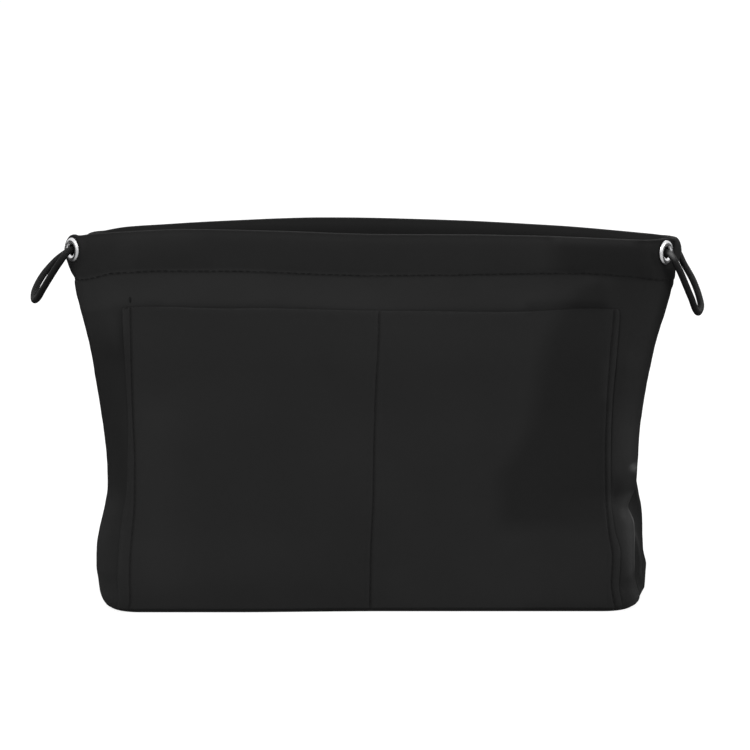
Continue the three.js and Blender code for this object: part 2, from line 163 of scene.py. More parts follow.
# How far each wall leans to the right
lean = {
    "front": through((0, -2.6), (24, -2.9), (56, -1.9), (152, -1.9), (172, -3.4)),
    "back": through((0, 2.6), (24, 1.2), (56, 0.9), (110, 1.8), (152, 2.2), (172, 3.4)),
}
# Which way each wall faces along Y
FACING = {"front": -1, "back": 1}
# How far each rim, and each casing's lower seam, hangs below its full height along the wall
rim_sag = {
    "front": through((-137, 3.7), (-130, 2.5), (-118, 1.5), (-85, 0), (-45, 0.6), (0, 2), (40, 2.3), (70, 3),
                     (137, 5.4)),
    "back": through((-137, 7.5), (-128, 6.5), (-116, 4.7), (-101, 3.7), (-70, 2), (-26, 0.7), (30, 1.8),
                    (86, 4.3), (111, 6.3), (130, 8.1), (141, 9)),
}
seam_sag = {
    "front": through((-137, 3.7), (-119, -0.1), (-95, -1.1), (-62, -1.2), (-34, -0.2), (0, 0.6), (85, 0.1),
                     (115, 1.5), (137, 4.4)),
    "back": through((-134, 6.3), (-101, 3.3), (-26, 0.7), (30, 1.4), (86, 3.6), (120, 5.4), (141, 8)),
}
# How far the front wall's right edge is drawn in by the fold at its foot
drawn_in = through((0, 0.4), (4, 1.8), (8, 3.1), (14, 3.4), (24, 3.6), (33, 3.3), (38, 2.9), (41, 3.6),
                   (44.5, 4.7), (48, 3.2), (51, 1.5), (54, 0.1), (60, -0.3), (68, -0.45), (76, 0), (86, 0.3),
                   (100, 0.3), (116, 0))
# How far the pouch's left (-1) and right (1) ends stand out past their plain shape at the foot, and the front
# wall's two ends below and beside the casing
foot_swell = {
    -1: through((0, 0.6), (3, -0.5), (6, -0.9), (11, -0.6), (18, 0)),
    1: through((0, 2), (3, 1.9), (6, 1.2), (10, 0.2), (14, -0.3), (22, -0.3), (34, 0)),
}
flare = {
    -1: through((128, 0), (138, 0.3), (146, 0.55), (149.5, 0.5), (151.6, 0.1), (154.5, 1.1), (158, 1.9),
                (164, 2.6), (168, 1.4), (172, 0)),
    1: through((116, 0), (128, 0.5), (140, 1.3), (146, 1.9), (150, 2.7), (158, 2.3), (165, 1.9), (172, 0.4)),
}
# Where the pocket's two sides stand at each height: the cloth is pulled towards the middle at the waist
pocket_left = through((0, -114.9), (24, -114), (41, -112.8), (58, -110.9), (80, -110.6), (109, -112.1),
                      (137, -113.6))
pocket_right = through((0, 112.9), (8, 112.9), (26, 113.7), (37.5, 110.8), (50.4, 109.1), (78, 108.7),
                       (91, 109.2), (122.6, 112), (137, 112.9))
# Where the pocket's seams run at each height
left_seam = through((0, -109.5), (24, -108.7), (51, -107.5), (65, -107.5), (91, -108.5), (118, -109.4),
                    (141, -110))
right_seam = through((0, 109.9), (10, 109.9), (24, 110.7), (37.5, 108.2), (50.5, 106.6), (71, 106.3),
                     (91, 107), (118, 108.8), (137, 110.3))
centre_seam = through((0, 0), (24, 0.6), (65, 0.9), (92, 1.5), (132, 3.2))
# How far the pocket's top edge dips below its full height, across the front
pocket_dip = through((-113, -0.9), (-94, 0.2), (-67, 0.8), (-39, 0.1), (0, 0.4), (35, 0.9), (64, 1.4),
                     (85, 0.9), (99, 0), (113, 0))


def smooth(x, low, high):
    """0 below low, 1 above high and a smooth step between them."""
    s = np.clip((x - low) / (high - low), 0, 1)
    return s * s * (3 - 2 * s)


def edge_inset(h, radius):
    """The walls draw in round the base's edge as a quarter circle, whose foot goes on along its tangent."""
    low = FOOT_TANGENT * radius
    down = np.clip(radius - np.maximum(h, low), 0, radius)
    across = np.sqrt(radius**2 - down**2)
    return radius - across + np.clip(low - h, 0, low) * down / across


def sag(side, x, h):
    """How far the cloth hangs below its full height: the rim's sag at the top of the casing, the seam's at
    its foot, and the cube of the height's share of that below."""
    seam = seam_sag[side](x)
    share = np.clip((h - SEAM_HEIGHT) / CASING_HEIGHT, 0, 1.1)
    return seam * (np.clip(h, 0, SEAM_HEIGHT) / SEAM_HEIGHT) ** 3 + (rim_sag[side](x) - seam) * share


def waves(x, h, seed, lengths, slant):
    """A sum of sines of the given wavelengths, each with its own phase and its own direction up to slant off
    level, from -1 to 1."""
    rng = np.random.default_rng(seed)
    total = 0
    for length in lengths:
        turn = rng.uniform(-slant, slant)
        phase = rng.uniform(0, 2 * np.pi)
        total = total + np.sin(2 * np.pi * (x * np.cos(turn) + h * np.sin(turn)) / length + phase)
    return total / len(lengths)


def ridge(x, h, start, end, width, height):
    """A soft ridge along a line: a bell of the distance to it, as wide as width."""
    a, b = np.array(start, float), np.array(end, float)
    d = b - a
    s = np.clip(((x - a[0]) * d[0] + (h - a[1]) * d[1]) / (d @ d), 0, 1)
    away = (x - a[0] - s * d[0]) ** 2 + (h - a[1] - s * d[1]) ** 2
    return height * np.exp(-away / width**2)


# Start, end, width and height of each soft fold in a wall, across and up from the wall's middle
FOLDS = {
    "front": [
        ((-119, 58), (-118, 112), 6, -1.5),
        ((-120, 50), (-121, 22), 4, -0.9),
        ((-121, 20), (-119, 34), 6, 0.8),
        ((-114, 150), (-118, 120), 9, 0.9),
        ((117, 62), (118, 110), 7, 1.0),
        ((113, 50), (119, 47), 5, -1.6),
        ((116, 30), (116, 18), 5, 1.0),
        ((118, 120), (124, 150), 8, -0.8),
        ((-60, 149), (-95, 140), 7, 0.5),
        ((40, 150), (12, 143), 7, 0.4),
        ((96, 149), (70, 144), 6, -0.5),
    ],
    "back": [
        ((118, 56), (117, 116), 7, -1.5),
        ((-118, 60), (-116, 104), 7, -1.1),
        ((-70, 40), (-96, 76), 12, 1.2),
        ((70, 34), (104, 62), 10, -1.4),
        ((30, 148), (66, 120), 10, -0.9),
        ((-88, 146), (-60, 118), 9, 0.9),
        ((-10, 60), (24, 96), 18, 1.0),
        ((92, 112), (74, 132), 8, 0.7),
    ],
}


def relief(side, x, h):
    """How far a wall stands out of its plain shape: its folds, long low waves and, on the front, the right
    part that turns back above the foot."""
    out = sum(ridge(x, h, *fold) for fold in FOLDS[side])
    out = out + 0.5 * waves(x, h, {"front": 3, "back": 8}[side], (190, 120, 83), 1.4)
    if side == "front":
        turned = smooth(x, 54, 114) * smooth(h, 36, 54) * (1 - 0.75 * smooth(h, 96, 150))
        out = out - 3.2 * turned
    return out * smooth(h, 3, 16)


# Start, end, width and share of each soft patch of painted light, where the share is positive, and of painted
# shade, where it is negative, on the front's cloth; the share of 3.2 is a small painted highlight by the
# right edge
PAINTED_LIGHT_PATCHES = [
    ((-110, 167), (-84, 168), 7, 0.14),
    ((-98, 20), (-98, 85), 14, 0.17),
    ((-116, 80), (-113, 42), 4, -0.09),
    ((-118, 34), (-119, 40), 4, -0.1),
    ((86, 171.5), (119, 171.8), 2.6, 0.45),
    ((72, 1), (114, 1), 3, -0.14),
    ((120.8, 63), (119.8, 64.2), 1.3, 3.2),
    ((100, 151), (108, 149), 3.5, 0.16),
    ((118, 50), (118.5, 18), 2.6, 0.65),
    ((-70, 118), (90, 108), 24, -0.05),
    ((-20, 55), (60, 30), 20, 0.03),
    ((107, 112), (106.5, 98), 2.6, 0.16),
    ((-118, 137.3), (-96, 137.6), 1.1, -0.2),
    ((72, 137.6), (106, 137.4), 2.2, -0.24),
    ((-80, 12), (60, 12), 26, 0.07),
    ((15, 10), (75, 10), 18, 0.07),
    ((112, 58), (118, 50), 4.5, -0.22),
    ((118, 8), (118, 19), 5, -0.3),
    ((119, 70), (118, 80), 4.5, 0.16),
    ((118.8, 52), (115.5, 42), 1.1, 0.35),
]
# Where the painted shade on the right part of the front begins at each height
shade_border = through((36, 58), (60, 58), (73, 65), (87, 72), (122, 79), (142, 92), (150, 102), (154, 84),
                       (172, 84))


def painted_light(t, h):
    """How much painted light, where positive, and painted shade, where negative, the front's cloth takes as a
    share of its colour: painted shade on its right, whose border follows shade_border, and at the left waist;
    painted light above the pocket; and painted shade as it turns round its ends, but for a painted highlight
    on the fold at the right foot."""
    x, _ = plan("front", t, h)
    border_at = shade_border(h)
    right = smooth(x, border_at - 7, border_at + 7) * smooth(h, 33, 45)
    flank = smooth(x, 104, 108) * (1 - smooth(h, 148, 153))
    above = smooth(h, 136, 137.2) * (1 - smooth(h, 150.3, 151.8))
    waist = (1 - smooth(x, -114, -107)) * smooth(h, 44, 56) * (1 - smooth(h, 118, 134))
    low = smooth(x, 104, 110) * (1 - smooth(h, 84, 100)) * smooth(h, 30, 60)
    # Painted shade on the right and at the left waist, and painted light low on the right
    out = -0.3 * right * (1 - (0.5 - 0.25 * smooth(h, 90, 120)) * flank) + 0.13 * low - 0.22 * waist
    out = out + (0.27 - 0.08 * smooth(x, -10, 20)) * above * (1 - smooth(x, 72, 96))
    out = out + sum(ridge(x, h, *patch) for patch in PAINTED_LIGHT_PATCHES)
    # A painted highlight on the fold at the right foot, and painted shade as the cloth turns round its ends
    fold = smooth(h, 12, 26) * (1 - smooth(h, 38, 46))
    edge = np.where(t > 0, 0.42, 0.32) * smooth(abs(t), 0.9, 0.985) * (1 - fold * (t > 0))
    return out - edge + 3.8 * fold * smooth(t, 0.955, 0.985)


# The line of a painted highlight on the right gusset, as of a lit crease, across and up from the gusset's
# middle
CREASE_HIGHLIGHT = [(15.3, 35), (3.4, 26.5), (-13.6, 20), (-20.4, 12)]


def gusset_painted_light(end, v, h):
    """The same for a gusset: painted shade by its seams and over the right one's foot, but for a painted
    highlight along a bent line, as of a lit crease."""
    out = -0.35 * smooth(abs(v), 0.75, 1)
    if end > 0:
        painted_crease = sum(ridge(v * GUSSET_SPAN, h, a, b, 2.0, 0.5) for a, b in zip(CREASE_HIGHLIGHT, CREASE_HIGHLIGHT[1:]))
        high = smooth(h, 56, 70)
        out = out * high - 0.72 * (1 - high) * smooth(h, 1, 9) + np.minimum(painted_crease, 0.5)
    return np.maximum(out, -0.8)


def plan(side, t, h):
    """A wall's plan curve at each height: straight with a slight bulge for t up to 0.8, then a quarter
    ellipse to the seam at t = 1. The ends swell, draw in and flare, and the front's left foot bulges."""
    t, h = np.broadcast_arrays(np.asarray(t, float), np.asarray(h, float))
    straight = half_length(h) - edge_inset(h, BASE_END_RADIUS) - CORNER
    depth, seam = half_depth(h) - edge_inset(h, BASE_SIDE_RADIUS), seam_offset(h)
    along = np.clip(t / CORNER_SHARE, -1, 1)
    turn = np.clip((abs(t) - CORNER_SHARE) / (1 - CORNER_SHARE), 0, 1) * np.pi / 2
    flat = depth + wall_bulge(h) * (1 + np.cos(np.pi * along)) / 2
    y = np.where(abs(t) <= CORNER_SHARE, flat, seam + (depth - seam) * np.cos(turn))
    x = straight * along + np.sign(t) * CORNER * np.sin(turn)
    x = x + foot_swell[1](h) * smooth(t, 0.6, 0.95) - foot_swell[-1](h) * smooth(-t, 0.6, 0.95)
    if side == "front":
        x = x - drawn_in(h) * smooth(t, 0.82, 0.97)
        x = x + flare[1](h) * smooth(t, 0.925, 1) - flare[-1](h) * smooth(-t, 0.925, 1)
        y = y + FOOT_BULGE * (1 - smooth(along, -0.6, 0.05)) * (1 - smooth(h, 8, 40))
    else:
        x = x - BACK_FLARE * smooth(-t, 0.925, 1) * smooth(h, 146, 162)
    return x, FACING[side] * y


def wall(side, t, h, inward):
    """A point of a wall, inward millimetres under its outer face along the plan curve's normal."""
    t, h, inward = np.broadcast_arrays(*(np.asarray(v, float) for v in (t, h, inward)))
    step = 2e-3
    x, y = plan(side, t, h)
    x0, y0 = plan(side, np.maximum(t - step, -1), h)
    x1, y1 = plan(side, np.minimum(t + step, 1), h)
    size = np.hypot(x1 - x0, y1 - y0)
    nx, ny = -FACING[side] * (y1 - y0) / size, FACING[side] * (x1 - x0) / size
    under = inward - relief(side, x, h) * (1 - smooth(abs(t), 0.84, 0.98))
    px, py = x + lean[side](h) - nx * under, y - ny * under
    return np.stack([px, py + POCKET_SETBACK, h - sag(side, px, h)], -1)


def station(x, h):
    """The t of a point that stands x from the wall's middle: plan's x turned round."""
    straight = half_length(h) - edge_inset(h, BASE_END_RADIUS) - CORNER
    turn = np.arcsin(np.clip((abs(x) - straight) / CORNER, 0, 1)) * 2 / np.pi
    beyond = np.sign(x) * (CORNER_SHARE + (1 - CORNER_SHARE) * turn)
    return np.where(abs(x) <= straight, CORNER_SHARE * x / straight, beyond)


def gusset(end, v, h, inward):
    """A point of a gusset: v runs from the front seam at -1 to the back one at 1, and the middle is folded
    inwards by a tent with a soft ridge, deeper towards the mouth."""
    v, h, inward = np.broadcast_arrays(*(np.asarray(w, float) for w in (v, h, inward)))
    seam, fold = seam_offset(h), fold_depth(h)
    top = np.hypot(1, FOLD_SOFTNESS)
    tent = (top - np.hypot(v, FOLD_SOFTNESS)) / (top - FOLD_SOFTNESS)
    slant = np.hypot(1, fold / seam)
    share = (v + 1) / 2
    shift = lean["front"](h) + (lean["back"](h) - lean["front"](h)) * share
    soft = 0.7 * waves(v * seam, h, 21 + int(end), (61, 37), 1.5) + 0.9 * waves(v * 20, h, 5, (47, 29), 1.5)
    soft = soft * (1 - smooth(abs(v), 0.6, 0.95)) * smooth(h, 7, 28)
    reach = half_length(h) - edge_inset(h, BASE_END_RADIUS) - fold * tent - inward * slant + soft
    reach = reach + foot_swell[end](h) + flare[end](h) * (1 - smooth(v, -1, 0))
    if end < 0:
        reach = reach + BACK_FLARE * smooth(v, 0, 1) * smooth(h, 146, 162)
    else:
        reach = reach - drawn_in(h) * (1 - smooth(v, -1, -0.45 + 0.55 * smooth(h, 20, 45)))
    x = end * reach + shift
    drop = sag("front", x, h) * (1 - share) + sag("back", x, h) * share
    return np.stack([x, v * (seam + 0.2) + POCKET_SETBACK, h - drop], -1)


def seat_of(side, end):
    """An eyelet's middle on the casing's face and its level outward axis."""
    h = WALL_HEIGHT - EYELET_DROP
    t = end * EYELET_T
    points = wall(side, np.array([t, t]), h, np.array([-CASING_PROUD, -CASING_PROUD - 1]))
    axis = (points[1] - points[0]) * [1, 1, 0]
    return points[0], axis / np.linalg.norm(axis)


def spread(*stops):
    """Numbers from stop to stop, each stretch cut into steps no longer than the length after it."""
    parts = []
    for low, high, step in stops:
        parts.append(np.linspace(low, high, max(1, int(round((high - low) / step))), endpoint=False))
    return np.append(np.concatenate(parts), stops[-1][1])


def wall_stations(straight_step, corner_step):
    """Values of t along a wall, from seam to seam, with steps of their own round the corners."""
    return spread((-1, -CORNER_SHARE, corner_step), (-CORNER_SHARE, CORNER_SHARE, straight_step),
                  (CORNER_SHARE, 1, corner_step))


def near(marks, low, high, step):
    """Stations from low to high, a step apart, with closer ones on both sides of each mark."""
    close = np.array([-2.4, -1.6, -1, -0.6, -0.3, 0, 0.3, 0.6, 1, 1.6, 2.4])
    plain = np.arange(low, high + step / 2, step)
    marks = np.asarray(marks, float)
    plain = plain[np.min(abs(plain[:, None] - marks), axis=1) > 2.9]
    fine = (marks[:, None] + close).ravel()
    return np.unique(np.concatenate([[low, high], plain, fine[(fine > low + 0.1) & (fine < high - 0.1)]]))


def rounded(distance, radius):
    """The share of a ply's half thickness left near its edge: a quarter circle of that radius."""
    return np.sqrt(np.clip(1 - (1 - np.clip(distance / radius, 0, 1)) ** 2, 0.02, 1))


def border(values):
    """Stations with four extra close to each end, so that the edge can be rounded."""
    extra = np.array([0.02, 0.1, 0.25, 0.55])
    return np.unique(np.concatenate([values, values[0] + extra, values[-1] - extra]))


def numbered(rows, columns, wrap=False):
    """The vertex numbers of a grid, its first column again at the end where the grid closes on itself."""
    index = np.arange(rows * columns).reshape(rows, columns)
    return np.concatenate([index, index[:, :1]], axis=1) if wrap else index


def cells(index):
    """The quads of a grid of vertex numbers: the four corners of each cell, in order round it."""
    corners = (index[:-1, :-1], index[:-1, 1:], index[1:, 1:], index[1:, :-1])
    return np.stack([corner.ravel() for corner in corners], -1)


def distances(line):
    """The distance along a line at each of its points: the sum of the steps before it."""
    return np.concatenate([[0], np.cumsum(np.linalg.norm(np.diff(line, axis=0), axis=1))])


def shell_faces(rows, columns, kept=None, wrap=False):
    """The quads of two like grids, the second turned over, and quads that join their open edges."""
    quads = cells(numbered(rows, columns, wrap))
    if kept is not None:
        quads = quads[kept.ravel()]
    edges = np.concatenate([quads[:, [k, (k + 1) % 4]] for k in range(4)])
    total = rows * columns
    lone = edges[~np.isin(edges[:, 0] * total + edges[:, 1], edges[:, 1] * total + edges[:, 0])]
    rim = np.stack([lone[:, 1], lone[:, 0], lone[:, 0] + total, lone[:, 1] + total], -1)
    return np.concatenate([quads, quads[:, ::-1] + total, rim])


def add_piece(name, points, faces, finish, nodes=(), uv=None, wear_and_highlight=None, body="pouch", painted_light_values=None):
    """Makes a mesh of points in millimetres, and turns its faces over where the volume that they enclose
    comes out negative, so that they look outwards. The wear, with the cord's painted highlight, and the
    painted light and shade are given for each point."""
    points = points.reshape(-1, 3)
    used, faces = np.unique(faces, return_inverse=True)
    faces = faces.reshape(-1, 4)
    corner = [points[used][faces[:, k]] for k in range(4)]
    volume = np.einsum("ij,ij->", np.cross(corner[0], corner[1]), corner[2])
    volume += np.einsum("ij,ij->", np.cross(corner[0], corner[2]), corner[3])
    if volume < 0:
        faces = faces[:, ::-1]
    mesh = bpy.data.meshes.new(name)
    mesh.from_pydata((points[used] * MM).tolist(), [], faces.tolist())
    mesh.polygons.foreach_set("use_smooth", np.ones(len(faces), bool))
    if uv is not None:
        layer = mesh.uv_layers.new(name="cloth")
        layer.data.foreach_set("uv", (uv.reshape(-1, 2)[used][faces] * MM).astype(np.float32).ravel())
    # Wear on the cloth, and a painted highlight on the cord
    shade = np.zeros(len(points)) if wear_and_highlight is None else np.asarray(wear_and_highlight, float).ravel()
    mesh.attributes.new("wear_and_highlight", "FLOAT", "POINT").data.foreach_set("value", shade[used].astype(np.float32))
    # Painted light and shade, which scales the cloth's colour
    if painted_light_values is not None:
        layer = mesh.attributes.new("painted_light", "FLOAT", "POINT")
        layer.data.foreach_set("value", np.asarray(painted_light_values, float).ravel()[used].astype(np.float32))
    mesh.materials.append(finish)
    mesh.update()
    piece = bpy.data.objects.new(name, mesh)
    bpy.context.scene.collection.objects.link(piece)
    if body:
        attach(piece, body)
    if nodes:
        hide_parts(*nodes)
    return piece


def grey(level):
    """A grey colour with full alpha."""
    return level, level, level, 1


def node(tree, kind, inputs=None, **settings):
    """Adds a node, sets it, and links each of its inputs to a socket or sets it to a value."""
    made = tree.nodes.new(kind)
    for key, value in settings.items():
        setattr(made, key, value)
    for key, value in (inputs or {}).items():
        if isinstance(value, bpy.types.NodeSocket):
            tree.links.new(value, made.inputs[key])
        else:
            made.inputs[key].default_value = value
    return made


def maths(tree, operation, a, b=0.0):
    """The result of one operation on a and b."""
    return node(tree, "ShaderNodeMath", {0: a, 1: b}, operation=operation).outputs[0]


def mixed(tree, share, low, high):
    """A colour between low and high."""
    return node(tree, "ShaderNodeMix", {0: share, 6: low, 7: high}, data_type="RGBA").outputs[2]


def ranged(tree, value, low, high, to_low, to_high):
    """The value's place between low and high, carried over to the range from to_low to to_high."""
    inputs = {0: value, 1: low, 2: high, 3: to_low, 4: to_high}
    return node(tree, "ShaderNodeMapRange", inputs).outputs[0]


def noise(tree, place, scale, detail):
    """Soft clouds about a half."""
    return node(tree, "ShaderNodeTexNoise", {"Vector": place, "Scale": scale, "Detail": detail}).outputs[0]


def bumped(tree, shader, distance, strength, height):
    """Gives the shader a normal that follows a height."""
    bump = node(tree, "ShaderNodeBump", {"Distance": distance, "Strength": strength, "Height": height})
    tree.links.new(bump.outputs[0], shader["Normal"])


def new_group(name, inputs, outputs):
    """A node group with named sockets: its tree and the sockets inside it."""
    tree = bpy.data.node_groups.new(name, "ShaderNodeTree")
    for label, kind in inputs:
        tree.interface.new_socket(label, in_out="INPUT", socket_type=kind)
    for label, kind in outputs:
        tree.interface.new_socket(label, in_out="OUTPUT", socket_type=kind)
    return tree, tree.nodes.new("NodeGroupInput").outputs, tree.nodes.new("NodeGroupOutput").inputs


def weave_group():
    """Plain weave: warp and weft threads are the sines' ridges, and their product says which lies on top."""
    tree, given, out = new_group(
        "woven threads",
        [("Vector", "NodeSocketVector"), ("Threads", "NodeSocketFloat"), ("Slub", "NodeSocketFloat")],
        [("Height", "NodeSocketFloat"), ("Thread", "NodeSocketFloat")],
    )
    wander = maths(tree, "SUBTRACT", noise(tree, given["Vector"], 900.0, 1.0), 0.5)
    drift = maths(tree, "MULTIPLY", wander, given["Slub"])
    parts = node(tree, "ShaderNodeSeparateXYZ", {0: given["Vector"]})
    bands = []
    for axis in (0, 1):
        turns = maths(tree, "MULTIPLY", parts.outputs[axis], given["Threads"])
        angle = maths(tree, "MULTIPLY", maths(tree, "ADD", turns, drift), np.pi)
        bands.append(maths(tree, "SINE", angle))
    warp, weft = (maths(tree, "ABSOLUTE", band) for band in bands)
    product = maths(tree, "MULTIPLY", *bands)
    over = maths(tree, "GREATER_THAN", product, 0.0)
    both = maths(tree, "MULTIPLY", warp, weft)
    top = node(tree, "ShaderNodeMix", {0: over, 2: weft, 3: warp}).outputs[0]
    height = maths(tree, "ADD", maths(tree, "MULTIPLY", top, 0.6), maths(tree, "MULTIPLY", both, 0.4))
    tree.links.new(height, out["Height"])
    tree.links.new(both, out["Thread"])
    return tree


def cloth_look_group():
    """Colour and roughness of the cloth's dye: cloudy, a little paler on the threads, polished at edges with
    wear, and scaled by the painted light and shade."""
    tree, given, out = new_group(
        "dyed cloth",
        [("Dye", "NodeSocketColor"), ("Pale", "NodeSocketColor"), ("Thread", "NodeSocketFloat"),
         ("Roughness", "NodeSocketFloat"), ("Polish", "NodeSocketFloat")],
        [("Color", "NodeSocketColor"), ("Roughness", "NodeSocketFloat")],
    )
    place = node(tree, "ShaderNodeTexCoord").outputs["Object"]
    cloud = noise(tree, place, 26.0, 3.0)
    lint = noise(tree, place, 700.0, 2.0)
    wear_and_highlight = node(tree, "ShaderNodeAttribute", attribute_name="wear_and_highlight").outputs["Fac"]
    scuff = maths(tree, "MULTIPLY", wear_and_highlight, ranged(tree, lint, 0.4, 0.65, 0.35, 1.0))
    share = maths(tree, "MULTIPLY", ranged(tree, cloud, 0.3, 0.7, 0.25, 0.75), given["Thread"])
    share = maths(tree, "ADD", share, maths(tree, "MULTIPLY", scuff, 0.9))
    # Painted light and shade: the colour is scaled by one plus this attribute
    painted_shading = node(tree, "ShaderNodeAttribute", attribute_name="painted_light").outputs["Fac"]
    colour = mixed(tree, share, given["Dye"], given["Pale"])
    dye_and_painted_light = node(tree, "ShaderNodeVectorMath", {0: colour, "Scale": maths(tree, "ADD", painted_shading, 1.0)},
                operation="SCALE")
    tree.links.new(dye_and_painted_light.outputs[0], out["Color"])
    spare = maths(tree, "MULTIPLY", maths(tree, "SUBTRACT", cloud, 0.5), 0.18)
    rough = maths(tree, "ADD", given["Roughness"], spare)
    rough = maths(tree, "SUBTRACT", rough, maths(tree, "MULTIPLY", scuff, given["Polish"]))
    tree.links.new(rough, out["Roughness"])
    return tree


WEAVE = weave_group()
CLOTH_LOOK = cloth_look_group()


def new_finish(name):
    """A material, its tree and the inputs of its shader."""
    finish = bpy.data.materials.new(name)
    finish.use_nodes = True
    tree = finish.node_tree
    return finish, tree, tree.nodes["Principled BSDF"].inputs


def woven_cloth(name, dye, pale, threads, depth, roughness, polish, specular):
    """Cloth of plain weave on the piece's own UV map, threads to the metre and depth metres deep."""
    finish, tree, shader = new_finish(name)
    across = node(tree, "ShaderNodeUVMap", uv_map="cloth").outputs[0]
    weave = node(tree, "ShaderNodeGroup", {"Vector": across, "Threads": threads, "Slub": 0.25},
                 node_tree=WEAVE)
    look = node(tree, "ShaderNodeGroup", {
        "Dye": grey(dye), "Pale": grey(pale), "Thread": weave.outputs["Thread"],
        "Roughness": roughness, "Polish": polish,
    }, node_tree=CLOTH_LOOK)
    tree.links.new(look.outputs["Color"], shader["Base Color"])
    tree.links.new(look.outputs["Roughness"], shader["Roughness"])
    bumped(tree, shader, depth, 0.6, weave.outputs["Height"])
    shader["Specular IOR Level"].default_value = specular
    return finish


NYLON = woven_cloth("black nylon", dye=0.013, pale=0.0212, threads=2400.0, depth=0.00006, roughness=0.6,
                    polish=0.1, specular=0.05)
LINER = woven_cloth("black lining", dye=0.0115, pale=0.02, threads=2000.0, depth=0.00008, roughness=0.8,
                    polish=0.06, specular=0.04)


def sewing_thread():
    """Twisted thread: fine slanting plies along each stitch."""
    finish, tree, shader = new_finish("black thread")
    across = node(tree, "ShaderNodeUVMap", uv_map="cloth").outputs[0]
    ply = node(tree, "ShaderNodeTexWave", {"Vector": across, "Scale": 900.0, "Distortion": 0.4},
               bands_direction="DIAGONAL").outputs[1]
    tree.links.new(mixed(tree, ply, grey(0.004), grey(0.011)), shader["Base Color"])
    bumped(tree, shader, 0.00005, 0.5, ply)
    tree.links.new(ranged(tree, ply, 0.0, 1.0, 0.75, 0.6), shader["Roughness"])
    shader["Specular IOR Level"].default_value = 0.06
    return finish


def braided_cord():
    """Braid: two sets of slanting strands on the cord's UV map, crossing over and under, with a fuzz that
    breaks up a pale painted highlight on the cord's upper side."""
    finish, tree, shader = new_finish("black braided cord")
    across = node(tree, "ShaderNodeUVMap", uv_map="cloth").outputs[0]
    turned = node(tree, "ShaderNodeMapping", {"Vector": across, "Rotation": (0, 0, np.pi / 4)})
    weave = node(tree, "ShaderNodeGroup", {"Vector": turned.outputs[0], "Threads": 1500.0, "Slub": 0.1},
                 node_tree=WEAVE)
    fuzz = noise(tree, across, 2600.0, 2.0)
    colour = mixed(tree, weave.outputs["Thread"], grey(0.002), grey(0.009))
    # On the cord this attribute holds a painted highlight, which turns the colour pale
    wear_and_highlight = node(tree, "ShaderNodeAttribute", attribute_name="wear_and_highlight").outputs["Fac"]
    painted_highlight = maths(tree, "MULTIPLY", wear_and_highlight, ranged(tree, fuzz, 0.35, 0.65, 0.5, 1.0))
    tree.links.new(mixed(tree, painted_highlight, colour, grey(0.15)), shader["Base Color"])
    height = maths(tree, "ADD", weave.outputs["Height"], maths(tree, "MULTIPLY", fuzz, 0.35))
    bumped(tree, shader, 0.00016, 0.8, height)
    tree.links.new(ranged(tree, fuzz, 0.3, 0.7, 0.38, 0.55), shader["Roughness"])
    shader["Specular IOR Level"].default_value = 0.16
    return finish


def nickel_plate():
    """Bright plate: a fine grain in the gloss, and broad dull patches where it is handled."""
    finish, tree, shader = new_finish("nickel plate")
    place = node(tree, "ShaderNodeTexCoord").outputs["Object"]
    fine = noise(tree, place, 1500.0, 3.0)
    broad = noise(tree, place, 220.0, 2.0)
    colour = mixed(tree, ranged(tree, broad, 0.35, 0.7, 0, 1), (0.8, 0.8, 0.81, 1), (0.68, 0.68, 0.69, 1))
    tree.links.new(colour, shader["Base Color"])
    tree.links.new(ranged(tree, fine, 0.3, 0.75, 0.16, 0.34), shader["Roughness"])
    bumped(tree, shader, 0.00002, 0.3, fine)
    shader["Metallic"].default_value = 1.0
    return finish


def stiff_board():
    """Grey stiffener sheet with a faint pressed grain."""
    finish, tree, shader = new_finish("stiffener board")
    place = node(tree, "ShaderNodeTexCoord").outputs["Object"]
    grain = noise(tree, place, 420.0, 4.0)
    colour = mixed(tree, grain, (0.024, 0.024, 0.025, 1), (0.036, 0.036, 0.037, 1))
    tree.links.new(colour, shader["Base Color"])
    bumped(tree, shader, 0.0001, 0.4, grain)
    shader["Roughness"].default_value = 0.8
    return finish


THREAD = sewing_thread()
CORD = braided_cord()
NICKEL = nickel_plate()
BOARD = stiff_board()


# Camera: a long lens two metres in front of the pouch and 0.3 m above the pocket's middle, turned down to it
camera = bpy.data.objects.new("camera", bpy.data.cameras.new("camera"))
bpy.context.scene.collection.objects.link(camera)
camera.data.sensor_width = 36
camera.data.lens = 209.6
camera.location = (0, -2.0, 0.4)
camera.rotation_mode = "QUATERNION"
AIM = Vector((-0.0005, 0, 0.1011))
camera.rotation_quaternion = (AIM - camera.location).to_track_quat("-Z", "Y")
bpy.context.scene.camera = camera


def smooth_path(points, step):
    """A smooth line through points: cubics over the distance along them, sampled every step, whose slope at a
    point is that of its neighbours."""
    gaps = np.linalg.norm(np.diff(points, axis=0), axis=1)
    at = np.concatenate([[0], np.cumsum(gaps)])
    slopes = np.gradient(points, at, axis=0)
    s = np.linspace(0, at[-1], max(6, int(at[-1] / step)))
    i = np.clip(np.searchsorted(at, s, side="right") - 1, 0, len(gaps) - 1)
    t, gap = ((s - at[i]) / gaps[i])[:, None], gaps[i][:, None]
    return cubic(t, gap, points[i], points[i + 1], slopes[i], slopes[i + 1])


def sweep(a, b, c, d):
    """Points along the cubic Bezier curve of four points."""
    t = np.linspace(0, 1, 13)[:, None]
    u = 1 - t
    return u**3 * a + 3 * u * u * t * b + 3 * u * t * t * c + t**3 * d


